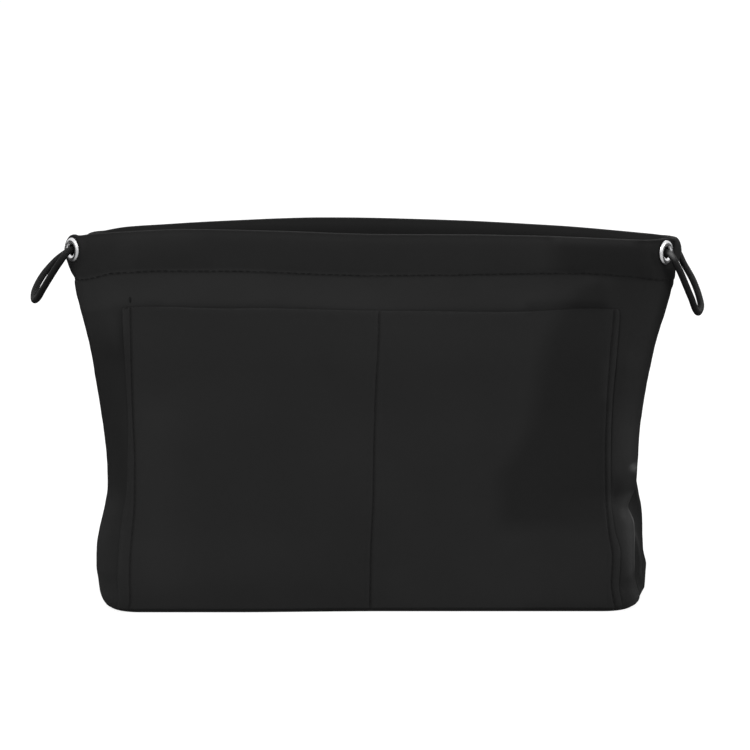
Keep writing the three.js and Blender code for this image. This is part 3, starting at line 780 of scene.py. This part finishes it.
def cord_tube(name, line, beside, nodes, body="pouch", painted_highlight=None):
    """A braided tube: rings of the cord's radius across the line, swelling where a strand of either slant
    passes over, with domed ends. beside is a direction that the line never points in. The last argument gives
    the share of painted highlight on the cord's upper side at each length along it."""
    along = np.gradient(line, axis=0)
    along /= np.linalg.norm(along, axis=1, keepdims=True)
    side = np.cross(along, beside)
    side /= np.linalg.norm(side, axis=1, keepdims=True)
    up = np.cross(side, along)
    gone = distances(line)
    angle = np.linspace(0, 2 * np.pi, CORD_AROUND, endpoint=False)
    lay = gone[:, None] * 2 * np.pi / BRAID_TURN
    strands = [np.sin(4 * (angle + lay)), np.sin(4 * (angle - lay))]
    braid = np.where(strands[0] * strands[1] > 0, abs(strands[0]), abs(strands[1]))
    radius = CORD_RADIUS * (0.99 + 0.07 * braid)
    end = np.minimum(gone, gone[-1] - gone)[:, None]
    radius = radius * np.sqrt(np.clip(1 - (1 - np.clip(end / 0.5, 0, 1)) ** 2, 0.03, 1))
    ring = radius[..., None] * (np.cos(angle)[:, None] * side[:, None] + np.sin(angle)[:, None] * up[:, None])
    points = line[:, None] + ring
    rows, last = len(line), CORD_AROUND - 1
    sides = cells(numbered(rows, CORD_AROUND, wrap=True))
    spots = np.arange(CORD_AROUND // 2 - 1)
    caps = [np.stack([r + spots, r + spots + 1, r + last - 1 - spots, r + last - spots], -1)
            for r in (0, (rows - 1) * CORD_AROUND)]
    faces = np.concatenate([sides, caps[0][:, ::-1], caps[1]])
    uv = np.stack(np.broadcast_arrays(gone[:, None], angle * CORD_RADIUS), -1)
    # A painted highlight on the side of the cord that faces UPPER_SIDE
    facing = ring / np.linalg.norm(ring, axis=2, keepdims=True) @ UPPER_SIDE
    wear_and_highlight = None if painted_highlight is None else painted_highlight(gone)[:, None] * smooth(facing, 0.45, 0.9)
    return add_piece(name, points, faces, CORD, nodes, uv=uv, body=body, wear_and_highlight=wear_and_highlight)


def make_cords():
    """The two hanging loops, the tails that join them to their eyelets, and the runs in the casings. A tail
    starts behind its eyelet, leaves along the eyelet's axis and meets its loop along the loop's own line."""
    for label, end, points in (("left", -1, LEFT_LOOP), ("right", 1, RIGHT_LOOP)):
        points = points + [0, POCKET_SETBACK, 0]
        line = smooth_path(points, CORD_STEP)
        across = np.cross(points[-1] - points[0], points[5] - points[0])
        # A painted highlight on the right loop's first few millimetres
        loop = cord_tube(f"{label}_cord_loop", line, across / np.linalg.norm(across), [f"{label}_loop"], None,
                         painted_highlight=lambda gone, end=end: (end > 0) * (1 - smooth(gone, 4, 9)))
        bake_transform(loop)
        for side, tip, next_to in (("front", points[0], points[1]), ("back", points[-1], points[-2])):
            centre, axis = seat_of(side, end)
            approach = (tip - next_to) / np.linalg.norm(tip - next_to)
            handle = TAIL_SWEEP * np.linalg.norm(tip - centre)
            route = sweep(centre, centre + axis * handle, tip + approach * handle, tip - approach * 1.2)
            route = np.concatenate([[centre - axis * 2, centre - axis], route])
            bend = np.cross(axis, approach)
            # A painted highlight on the right front tail, from a few millimetres past its eyelet
            tail = cord_tube(f"{side}_{label}_cord_tail", smooth_path(route, CORD_STEP),
                             bend / np.linalg.norm(bend), [f"{side}_{label}_tail"], None,
                             painted_highlight=lambda gone, end=end: (end > 0) * (side == "front") * smooth(gone, 3, 5))
            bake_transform(tail)
        centre, _ = seat_of("front", end)
        length = float(distances(line)[-1]) * MM
    for side in ("front", "back"):
        t = np.linspace(-EYELET_T, EYELET_T, 60)
        points = wall(side, t, WALL_HEIGHT - EYELET_DROP, CORD_DEPTH - CASING_PROUD)
        cord_tube(f"{side}_cord_in_casing", smooth_path(points, 1.2), np.array([0, 0, 1.0]),
                  [f"{side}_cord_run"])


def puckers(x, distance, seed, reach=5.0):
    """Gathers along a seam: short waves across it that die away with the distance from it."""
    return waves(x, 0 * x, seed, (6.3, 9.7, 14.1, 23.0), 0.01) * np.exp(-abs(distance) / reach)


def cloth_ply(name, place, u, v, thick, finish, nodes, uv, wear_and_highlight=None, hem=None,
              painted_shading=None):
    """A sheet of cloth: place(u, v, depth) gives a point depth millimetres under its outer face, and its
    edges are rounded. uv lays it out flat, hem adds thickness where an edge is doubled, and the other two
    functions give its wear and its painted light and shade."""
    uu, vv = np.meshgrid(u, v)
    across, up = uv(uu, vv)
    edge = np.minimum(np.minimum(across - across[:, :1], across[:, -1:] - across),
                      np.minimum(up - up[:1], up[-1:] - up))
    full = thick if hem is None else thick + hem(uu, vv)
    half = full / 2 * rounded(abs(edge), thick / 2)
    outer, inner = place(uu, vv, thick / 2 - half), place(uu, vv, thick / 2 + half)
    points = np.concatenate([outer.reshape(-1, 3), inner.reshape(-1, 3)])
    pattern = np.stack([across, up], -1).reshape(-1, 2)
    shade = None if wear_and_highlight is None else np.tile(wear_and_highlight(uu, vv).ravel(), 2)
    # Painted light and shade for each point of both faces
    painted_light_values = None if painted_shading is None else np.tile(painted_shading(uu, vv).ravel(), 2)
    faces = shell_faces(len(v), len(u))
    piece = add_piece(name, points, faces, finish, nodes, uv=np.tile(pattern, (2, 1)), wear_and_highlight=shade,
                      painted_light_values=painted_light_values)
    return piece


def wall_uv(t, h):
    """Distance along a wall's cloth and up it."""
    return t * WALL_SPAN, h


def make_walls():
    """Front and back walls and their linings: plies that follow the wall's own surface."""
    close = np.array([0.997, 0.999, 0.9998])
    u = np.unique(np.concatenate([wall_stations(0.008, 0.006), -close, close]))
    for side, seed in (("front", 31), ("back", 47)):
        def outer(t, h, depth, side=side, seed=seed):
            """The wall, gathered under the casing's seam and by its side seams, where it is tucked in."""
            x = t * WALL_SPAN
            lift = 0.22 * puckers(x, SEAM_HEIGHT - h, seed)
            lift = lift + 0.16 * puckers(h, WALL_SPAN - abs(x), seed + 1, 4)
            tuck = 0.9 * np.exp(-((1 - abs(t)) * WALL_SPAN / 0.9) ** 2)
            return wall(side, t, h, depth - lift * smooth(SEAM_HEIGHT + 2 - h, 0, 3) + tuck)

        def wear(t, h):
            """Rubbed by the side seams and round the foot."""
            return 0.8 * np.exp(-((1 - abs(t)) * WALL_SPAN / 3) ** 2) + 0.5 * np.exp(-((h - 7) / 6) ** 2)

        v = border(spread((FOOT, 12, 0.9), (12, 140, 1.6), (140, SEAM_HEIGHT + 1.5, 0.7)))
        # The front wall's colour carries the painted light and shade
        cloth_ply(f"{side}_wall_cloth", outer, u, v, SHELL, NYLON, [f"{side}_panel"], wall_uv,
                  wear, painted_shading=painted_light if side == "front" else None)

        def inner(t, h, depth, side=side, seed=seed):
            """The lining, which stands off the wall in low waves on its inner side."""
            x = t * WALL_SPAN
            lift = 0.5 * waves(x, h, seed + 5, (57, 34, 21), 1.2) * smooth(h, 8, 30)
            lift = lift * (1 - smooth(h, SEAM_HEIGHT - 10, SEAM_HEIGHT)) * (1 - smooth(abs(t), 0.8, 1))
            lift = lift + 0.2 * puckers(x, SEAM_HEIGHT - h, seed + 6)
            return wall(side, t, h, LINING_OFFSET + depth + abs(lift) * smooth(abs(depth), 0, 0.4))

        v = border(spread((WALL_LINING_BOTTOM, SEAM_HEIGHT + 2, 1.8)))
        cloth_ply(f"{side}_lining_cloth", inner, u[::2], v, LINING, LINER, [f"{side}_lining"],
                  wall_uv)


def make_gussets():
    """Folding gussets and their linings: plies that follow the gusset's own surface."""
    v = np.unique(np.concatenate([spread((-1, 1, 0.02)), [-0.997, -0.99, 0.99, 0.997]]))

    def uv(w, h):
        """Distance across a gusset's cloth from its fold, and up it."""
        return w * GUSSET_SPAN, h

    def hem(w, h):
        """What the doubled edge along the top adds to the ply."""
        return 0.7 * smooth(h, GUSSET_TOP - 7.6, GUSSET_TOP - 7)

    def wear(w, h):
        """Rubbed along the fold and along the top."""
        return 0.7 * np.exp(-(w / 0.09) ** 2) + 0.5 * smooth(h, GUSSET_TOP - 3, GUSSET_TOP)

    for label, end in (("left", -1), ("right", 1)):
        def outer(w, h, depth, end=end):
            """The gusset, gathered by its side seams, where it is tucked in."""
            from_seam = (1 - abs(w)) * GUSSET_ACROSS
            tuck = 0.8 * np.exp(-(from_seam / 0.9) ** 2)
            lift = 0.2 * puckers(h, from_seam, 60 + end, 4)
            return gusset(end, w, h, depth + tuck - lift)

        h = border(near([GUSSET_TOP - 7.2, GUSSET_TOP - 5.6], FOOT, GUSSET_TOP, 2.0))
        # The gusset's colour carries painted shade and a painted highlight
        cloth_ply(f"{label}_gusset_cloth", outer, v, h, SHELL, NYLON, [f"{label}_gusset"], uv,
                  wear, hem,
                  lambda w, h, end=end: gusset_painted_light(end, w, h))

        def inner(w, h, depth, end=end):
            """The lining, a little off the gusset's inner side."""
            return gusset(end, w, h, LINING_OFFSET + 0.2 + depth)

        h = border(spread((WALL_LINING_BOTTOM, GUSSET_TOP - 1, 2.0)))
        cloth_ply(f"{label}_gusset_lining_cloth", inner, v, h, LINING, LINER,
                  [f"{label}_gusset_lining"], uv)


def casing_section(angle, shrink=0.0):
    """A casing's flattened tube at each angle round it, from its sole up the outer face and over the crown:
    the height from its middle, half its thickness there, full at the cord and pressed thin at the seam below,
    and the share of that by which the point stands out. shrink gives the inside of its ply."""
    rise = -np.sign(np.cos(angle)) * abs(np.cos(angle)) ** 0.8
    full = 1.6 + 1.9 * smooth(rise, -0.9, 0.25)
    bow = np.sign(np.sin(angle)) * abs(np.sin(angle)) ** (0.5 + 0.2 * smooth(rise, 0.2, 0.9))
    return rise * (CASING_HALF - shrink) * np.where(rise < 0, 1.06, 1), full, bow


def from_eyelet(side, end, points):
    """An eyelet's axis, how far points stand out along it, and how far they are away from it."""
    centre, axis = seat_of(side, end)
    offset = points - centre
    out = offset @ axis
    return axis, out, np.linalg.norm(offset - out[..., None] * axis, axis=-1)


def casing_layer(side, seed, angle, t, shrink):
    """One face of a casing's ply: its section carried along the rim, gathered by the seam, closed at both
    ends as a quarter circle, and pressed flat under the eyelets' brims."""
    gone = (1 - abs(t)) * CORNER_SPAN
    closing = np.sqrt(np.clip(1 - (1 - np.clip(gone / 2.6, 0, 1)) ** 2, 0.09, 1))
    rise, full, bow = casing_section(angle, shrink)
    half = np.maximum(full * closing - shrink, 0.12)
    x = t * WALL_SPAN
    lift = 0.3 * puckers(x, rise + 9, seed, 4) + 0.16 * waves(x, rise, seed + 2, (41, 27, 17), 0.6)
    lift = lift * (bow > 0) - 0.05 * np.exp(-((rise + SEAM_RISE) / 0.7) ** 2)
    depth = full - half * bow - CASING_PROUD - lift
    points = wall(side, t, CASING_MIDDLE + rise * (1 - 0.1 * (1 - closing)), depth)
    outside = (angle > 0.01) & (angle < np.pi)
    for end in (-1, 1):
        axis, out, away = from_eyelet(side, end, points)
        flat = (1 - smooth(away, *PRESSED_FLAT)) * smooth(gone, 0.2, 2.8) * outside
        press = 0.25 * np.exp(-((away - PRESSED_FLAT[0]) / 1.2) ** 2)
        points = points + ((-shrink - press - out) * flat)[..., None] * axis
    return points


def casing_painted_light(side, angle, t, rise, points):
    """A casing's painted light and shade: the front's own on the outer face, painted light along the seam at
    the foot, and painted shade along the crown and in a ring round each eyelet."""
    painted_light_values = painted_light(t, CASING_MIDDLE + rise) * (angle < np.pi) if side == "front" else 0 * angle
    seam = (0.5 - 0.32 * smooth(t, 0, 0.35)) * np.exp(-((rise + SEAM_RISE) / 1.1) ** 2) * (angle < np.pi)
    painted_light_values = painted_light_values + seam - 0.35 * np.exp(-((rise - CASING_HALF) / 1.4) ** 2)
    for end in (-1, 1):
        centre, _ = seat_of(side, end)
        away = np.linalg.norm(points - centre, axis=-1)
        painted_light_values = painted_light_values - 0.4 * np.exp(-((away - 6.1) / 0.5) ** 2)
    return np.maximum(painted_light_values, -0.8)


def make_casings():
    """The drawcord casing on each rim: a flattened cloth tube with a hole under each eyelet, where the cells
    close to the eyelet's axis are left out of both faces."""
    around = np.linspace(0, 2 * np.pi, 72, endpoint=False)
    stations = wall_stations(0.0085, 0.0045)
    angle, t = np.meshgrid(around, stations)
    for side, seed in (("front", 71), ("back", 83)):
        layers = [casing_layer(side, seed, angle, t, shrink) for shrink in (0.0, CASING_PLY)]
        middle = (layers[0][:-1] + layers[0][1:]) / 2
        middle = (middle + np.roll(middle, -1, axis=1)) / 2
        kept = np.ones(middle.shape[:2], bool)
        for end in (-1, 1):
            _, out, away = from_eyelet(side, end, middle)
            kept &= ~((away < CLOTH_HOLE) & (abs(out) < 2))
        rise, _, _ = casing_section(angle)
        up = np.where(angle < np.pi, rise, CASING_HEIGHT + 2 - rise)
        uv = np.tile(np.stack([t * WALL_SPAN, up], -1).reshape(-1, 2), (2, 1))
        wear_and_highlight = 0.35 * np.exp(-((angle - np.pi * 0.93) / 0.3) ** 2) + 0.4 * np.exp(-((rise + 10.3) / 0.6) ** 2)
        # Painted light and shade on the casing
        painted_light_values = casing_painted_light(side, angle, t, rise, layers[0])
        points = np.concatenate([layer.reshape(-1, 3) for layer in layers])
        faces = shell_faces(len(stations), len(around), kept, wrap=True)
        piece = add_piece(f"{side}_casing_cloth", points, faces, NYLON, [f"{side}_casing"], uv=uv,
                          wear_and_highlight=np.tile(wear_and_highlight.ravel() * 0.8, 2), painted_light_values=np.tile(painted_light_values.ravel(), 2))


def pocket_rise(x, h):
    """How far the pocket's outer face stands off the wall: pressed to it at its seams, pillowed between
    them, gaping a little at the top of each half, with a ridge on either side of each seam's groove."""
    left, seam, right = left_seam(h), centre_seam(h), right_seam(h)
    across = np.where(x < seam, (x - left) / (seam - left), (right - x) / (right - seam))
    pillow = np.sin(np.pi * np.clip(across, 0, 1)) ** 2
    upright = smooth(h, 3, 30) * (0.75 + 0.25 * smooth(h, 120, POCKET_TOP))
    out = POCKET_OFF + 0.9 * pillow * upright + 1.2 * pillow * (h / POCKET_TOP) ** 4
    for line in (left, seam, right):
        off = x - line
        out = out - 0.6 * np.exp(-(off / 0.5) ** 2) + 0.2 * np.exp(-((abs(off) - 1.3) / 0.8) ** 2)
        out = out + 0.16 * puckers(h, off, 17, 4)
    return out


def pocket_face(x, h, depth=0.0):
    """A point of the pocket's outer face, or of the wall where the height is over the pocket's top."""
    off = pocket_rise(x, np.minimum(h, POCKET_TOP)) * (1 - smooth(h, POCKET_TOP - 0.2, POCKET_TOP + 0.6))
    return wall("front", station(x, h), h, depth - off)


def make_pocket():
    """The patch pocket: a ply whose columns follow its sides and its seams, with rounded upper corners."""
    shares = (-1, -0.965, 0, 0.965, 1)
    marks = [POCKET_HALF * share for share in shares[1:-1]]
    u = border(near(marks, -POCKET_HALF, POCKET_HALF, 1.7)) / POCKET_HALF
    v = border(spread((1.6, POCKET_TOP - 4, 1.7), (POCKET_TOP - 4, POCKET_TOP, 0.8)))

    def spot(share, h):
        """How far a column stands from the wall's middle: between the lines beside it by its share."""
        lines = (pocket_left(h), left_seam(h), centre_seam(h), right_seam(h), pocket_right(h))
        x = lines[0]
        for k in range(4):
            part = np.clip((share - shares[k]) / (shares[k + 1] - shares[k]), 0, 1)
            x = x + (lines[k + 1] - lines[k]) * part
        return x

    def place(share, h, depth):
        """The pocket's face, with its top edge dipped and its upper corners rounded."""
        x = spot(share, h)
        corner = edge_inset((1 - abs(share)) * POCKET_HALF, 2.6)
        low = h - (pocket_dip(x) + corner) * (h / POCKET_TOP) ** 8
        return pocket_face(x, np.minimum(low, POCKET_TOP - 0.25), depth)

    def wear_and_highlight(share, h):
        """Rubbed along the top edge and the two sides."""
        top = np.exp(-((h - POCKET_TOP) / 1.4) ** 2)
        return 0.5 * top + 0.4 * np.exp(-((1 - abs(share)) * POCKET_HALF / 1.5) ** 2)

    # The pocket's colour carries the front's painted light and shade
    cloth_ply("front_pocket_cloth", place, u, v, POCKET_PLY, NYLON, ["front_pocket"],
              lambda share, h: (share * POCKET_HALF, h),
              wear_and_highlight, painted_shading=lambda share, h: painted_light(station(spot(share, h), h), h))


def base_point(t, s, h, inward):
    """A point of the base at the walls' outline of height h: s runs from the front curve to the back one."""
    front = wall("front", t, h, inward)
    back = wall("back", t, h, inward)
    return front + (back - front) * np.asarray(s)[..., None]


def base_solid(name, levels, finish, nodes, dip=0.0):
    """A flat plate with the base's outline: levels gives the outline's height, its inset and the level of
    each ring from the underside's edge up to the top's edge. dip lets the top wave by that much."""
    tt, ss = np.meshgrid(wall_stations(0.0125, 0.02), spread((0, 1, 0.025)))
    rows, columns = tt.shape
    index = numbered(rows, columns)
    loop = np.concatenate([index[0, :-1], index[:-1, -1], index[-1, :0:-1], index[:0:-1, 0]])
    lt, ls = tt.ravel()[loop], ss.ravel()[loop]
    rings = []
    for h, inward, level in levels:
        ring = base_point(lt, ls, h, inward)
        ring[:, 2] = level
        rings.append(ring)
    sheets = []
    for h, inward, level in (levels[0], levels[-1]):
        grid = base_point(tt, ss, h, inward)
        grid[..., 2] = level
        sheets.append(grid.reshape(-1, 3))
    inside = np.minimum(1 - abs(tt), np.minimum(ss, 1 - ss)).ravel()
    soft = waves(tt.ravel() * 125, ss.ravel() * 90, 14, (67, 43, 29), 1.5)
    sheets[1][:, 2] += dip * soft * smooth(inside, 0.02, 0.12)
    flats = cells(index)
    total = rows * columns
    between = [2 * total + len(loop) * k + np.arange(len(loop)) for k in range(1, len(levels) - 1)]
    ids = [loop, *between, loop + total]
    strips = [np.stack([low, np.roll(low, -1), np.roll(high, -1), high], -1)
              for low, high in zip(ids, ids[1:])]
    faces = np.concatenate([flats[:, ::-1], flats + total, *strips])
    points = np.concatenate([*sheets, *rings[:-1]])
    piece = add_piece(name, points, faces, finish, nodes, uv=points[:, :2])
    return piece


def make_base():
    """The outer base, curved up round its edge, and the lining that covers the stiffener."""
    heights = BASE_PANEL * np.array([0, 0.005, 0.02, 0.06, 0.13, 0.25, 0.42, 0.66, 0.93])
    levels = [(h, 0.05 + 0.9 * float(smooth(h, 0.1, 0.9)), h) for h in heights]
    levels += [(BASE_PANEL, 1.2, BASE_PANEL + 0.1), (BASE_PANEL, 2.2, BASE_PANEL + 0.2)]
    base_solid("base_cloth", levels, NYLON, ["base_panel"])
    edge, top = LINING_OFFSET - 0.2, LINING_BOTTOM + LINING
    levels = [(LINING_BOTTOM, edge, LINING_BOTTOM), (LINING_BOTTOM, edge, LINING_BOTTOM + 0.4),
              (LINING_BOTTOM, edge + 0.2, top - 0.2), (LINING_BOTTOM, edge + 0.6, top)]
    base_solid("base_lining_cloth", levels, LINER, ["base_lining"],
               dip=0.2)
    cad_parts["base_board"].data.materials.clear()
    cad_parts["base_board"].data.materials.append(BOARD)


def turned_ring(name, profile, centre, axis, nodes):
    """A lathe-turned nickel ring: a closed profile of (radius, height) carried round the axis."""
    turn = np.linspace(0, 2 * np.pi, 72, endpoint=False)
    up = np.array([0, 0, 1.0])
    side = np.cross(axis, up)
    r, z = np.asarray(profile, float).T
    ring = r[None, :, None] * (np.cos(turn)[:, None, None] * side + np.sin(turn)[:, None, None] * up)
    points = centre + ring + z[None, :, None] * axis
    index = numbered(len(turn), len(r), wrap=True)
    return add_piece(name, points, cells(np.concatenate([index, index[:1]])), NICKEL, nodes)


def make_eyelets():
    """Nickel eyelets: a domed brim rolled into a barrel, and the washer that each is set over inside."""
    dome = np.linspace(0, np.pi, 20)
    mid, half = (EYELET_BRIM + EYELET_HOLE) / 2, (EYELET_BRIM - EYELET_HOLE) / 2
    brim = np.stack([mid + half * np.cos(dome), EYELET_HEIGHT * np.sin(dome) ** 0.75], -1)
    barrel = [(EYELET_HOLE, -1.0), (EYELET_HOLE, -2.0), (EYELET_HOLE + 0.3, -2.15), (EYELET_HOLE + 0.6, -2.0),
              (EYELET_HOLE + 0.6, -0.4), (EYELET_HOLE + 0.9, -0.15), (EYELET_BRIM - 0.4, -0.15)]
    ring = np.linspace(0, 2 * np.pi, 16, endpoint=False)
    inner = EYELET_HOLE + 0.9
    radius = (inner + WASHER_BRIM) / 2 + (WASHER_BRIM - inner) / 2 * np.cos(ring)
    washer = np.stack([radius, -1.6 + 0.3 * np.sin(ring)], -1)
    for side in ("front", "back"):
        for label, end in (("left", -1), ("right", 1)):
            centre, axis = seat_of(side, end)
            turned_ring(f"{side}_{label}_eyelet_ring", [*brim, *barrel], centre, axis,
                        [f"{side}_{label}_eyelet"])
            turned_ring(f"{side}_{label}_eyelet_washer", washer, centre, axis, [f"{side}_{label}_washer"])


def sew(name, rows, pitch=3.1, length=2.5, radius=0.16):
    """Rows of lockstitches: each stitch is a short six-sided thread that swells in its middle and whose ends
    dive into the cloth. A row is a function of a share from 0 to 1 that gives points of the sewn surface and,
    second, points just outside it."""
    ring = np.linspace(0, 2 * np.pi, 6, endpoint=False)
    spots = np.array([-0.5, -0.34, 0, 0.34, 0.5])
    thick = np.array([0.35, 0.9, 1, 0.9, 0.35])
    lift = np.array([-1.6, -0.5, 0.1, -0.5, -1.6])
    each = len(spots) * len(ring)
    caps = np.array([[0, 1, 2, 3], [0, 3, 4, 5], [24, 27, 26, 25], [24, 29, 28, 27]])
    one = np.concatenate([cells(numbered(len(spots), len(ring), wrap=True)), caps])[:, ::-1]
    all_points, all_faces, count = [], [], 0
    for row in rows:
        share = np.linspace(0, 1, 1400)
        line, outside = row(share)
        gone = distances(line)
        number = max(1, int(gone[-1] / pitch))
        middle = (np.arange(number) + 0.5) * gone[-1] / number
        at = middle[:, None] + spots * length
        base = np.stack([np.interp(at, gone, line[:, k]) for k in range(3)], -1)
        out = np.stack([np.interp(at, gone, (outside - line)[:, k]) for k in range(3)], -1)
        out /= np.linalg.norm(out, axis=-1, keepdims=True)
        along = base[:, -1:] - base[:, :1]
        along = along / np.linalg.norm(along, axis=-1, keepdims=True)
        side = np.cross(np.broadcast_to(along, out.shape), out)
        spot = base + out * (lift * radius)[None, :, None]
        round_it = np.cos(ring)[:, None] * side[:, :, None] + np.sin(ring)[:, None] * out[:, :, None]
        points = spot[:, :, None] + radius * thick[None, :, None, None] * round_it
        all_faces.append((one[None] + each * np.arange(number)[:, None, None] + count).reshape(-1, 4))
        all_points.append(points.reshape(-1, 3))
        count += each * number
    points = np.concatenate(all_points)
    pattern = np.stack([np.repeat(spots * length, len(ring)), np.tile(ring * radius, len(spots))], -1)
    pattern = np.tile(pattern, (count // each, 1))
    return add_piece(name, points, np.concatenate(all_faces), THREAD, uv=pattern)


def casing_row(side, rise, depth, facing=1):
    """A row along a casing, rise from its middle and depth under the wall's face, seen from outside or, with
    facing -1, from inside."""
    def row(share):
        t, h = ROW_END * (2 * share - 1), CASING_MIDDLE + rise
        return wall(side, t, h, depth), wall(side, t, h, depth - facing)
    return row


def pocket_row(across, low, high):
    """A row up the pocket from low to high, at the distance that across gives for each height."""
    def row(share):
        h = low + (high - low) * share
        x = across(h)
        return pocket_face(x, h), pocket_face(x, h, -1)
    return row


def gusset_row(end, h, depth):
    """A row across a gusset at one height."""
    def row(share):
        v = ROW_END * (2 * share - 1)
        return gusset(end, v, h, depth), gusset(end, v, h, depth - 1)
    return row


def make_stitches():
    """Every visible row of sewing."""
    for side in ("front", "back"):
        sew(f"{side}_casing_stitches", [casing_row(side, -SEAM_RISE, -0.45)])
        sew(f"{side}_casing_inner_stitches", [casing_row(side, -SEAM_RISE + 0.8, 1.3, facing=-1)])
    sew("pocket_side_stitches", [pocket_row(seam, 3, POCKET_TOP - 1) for seam in (left_seam, right_seam)])
    sew("pocket_corner_tack", [pocket_row(left_seam, POCKET_TOP + 1, POCKET_TOP + 5)], 4, 3.9, 0.5)
    sew("pocket_centre_stitches", [pocket_row(centre_seam, 3, POCKET_TOP - 1.2)])
    for label, end in (("left", -1), ("right", 1)):
        sew(f"{label}_gusset_hem_stitches", [gusset_row(end, GUSSET_TOP - 5.6, -0.35)])


make_cords()
make_walls()
make_gussets()
make_casings()
make_pocket()
make_base()
make_eyelets()
make_stitches()


def make_room():
    """A pale floor that keeps the shadow, a white room for the camera and soft lamps. What the pouch mirrors
    is bright in front of it and dim behind, so that the nickel shines and the gussets' folds stay dark."""
    corners = [(-9, -6), (9, -6), (9, 12), (-9, 12)]
    mesh = bpy.data.meshes.new("floor")
    mesh.from_pydata([(x, y, -0.0002) for x, y in corners], [], [(0, 1, 2, 3)])
    floor = bpy.data.objects.new("floor", mesh)
    bpy.context.scene.collection.objects.link(floor)
    finish = bpy.data.materials.new("pale floor")
    finish.use_nodes = True
    tree = finish.node_tree
    tree.nodes.clear()
    out = node(tree, "ShaderNodeOutputMaterial")
    lit = node(tree, "ShaderNodeBsdfDiffuse", {"Color": grey(0.3)})
    glow = node(tree, "ShaderNodeEmission", {"Color": grey(1), "Strength": 0.86})
    seen = node(tree, "ShaderNodeAddShader", {0: lit.outputs[0], 1: glow.outputs[0]})
    path = node(tree, "ShaderNodeLightPath").outputs
    place = node(tree, "ShaderNodeTexCoord").outputs["Object"]
    behind = node(tree, "ShaderNodeSeparateXYZ", {0: place}).outputs[1]
    mirrored = ranged(tree, behind, -0.1, 0.05, 0.6, 0.08)
    level = ranged(tree, path["Is Glossy Ray"], 0.0, 1.0, 0.8, mirrored)
    plain = node(tree, "ShaderNodeBsdfDiffuse", {"Color": level})
    direct = maths(tree, "MAXIMUM", path["Is Camera Ray"], path["Is Transmission Ray"])
    either = node(tree, "ShaderNodeMixShader", {0: direct, 1: plain.outputs[0], 2: seen.outputs[0]})
    tree.links.new(either.outputs[0], out.inputs["Surface"])
    mesh.materials.append(finish)

    world = bpy.data.worlds.new("room")
    bpy.context.scene.world = world
    world.use_nodes = True
    tree = world.node_tree
    tree.nodes.clear()
    out = node(tree, "ShaderNodeOutputWorld")
    path = node(tree, "ShaderNodeLightPath").outputs
    way = node(tree, "ShaderNodeTexCoord").outputs["Generated"]
    behind = node(tree, "ShaderNodeSeparateXYZ", {0: way}).outputs[1]
    direct = maths(tree, "MAXIMUM", path["Is Camera Ray"], path["Is Transmission Ray"])
    change = ranged(tree, behind, 0.78, 0.93, 0.45, -0.5)
    gleam = maths(tree, "MULTIPLY", path["Is Glossy Ray"], change)
    strength = maths(tree, "ADD", ranged(tree, direct, 0.0, 1.0, 0.55, 1.0), gleam)
    sky = node(tree, "ShaderNodeBackground", {"Color": grey(1), "Strength": strength})
    tree.links.new(sky.outputs[0], out.inputs["Surface"])

    for name, place, aim, size, power in (
        ("high left lamp", (-1.3, -1.7, 2.0), (0, 0, 0.1), 1.4, 34),
        ("right lamp", (2.0, -0.5, 1.1), (0.05, 0, 0.08), 0.9, 22),
        ("back lamp", (0.4, 1.9, 1.8), (0, 0, 0.1), 1.4, 8),
    ):
        light = bpy.data.lights.new(name, "AREA")
        light.shape, light.size, light.energy = "DISK", size, power
        lamp = bpy.data.objects.new(name, light)
        lamp.location = place
        lamp.rotation_mode = "QUATERNION"
        lamp.rotation_quaternion = (Vector(aim) - Vector(place)).to_track_quat("-Z", "Y")
        bpy.context.scene.collection.objects.link(lamp)


make_room()
bpy.context.scene.view_settings.view_transform = "Standard"
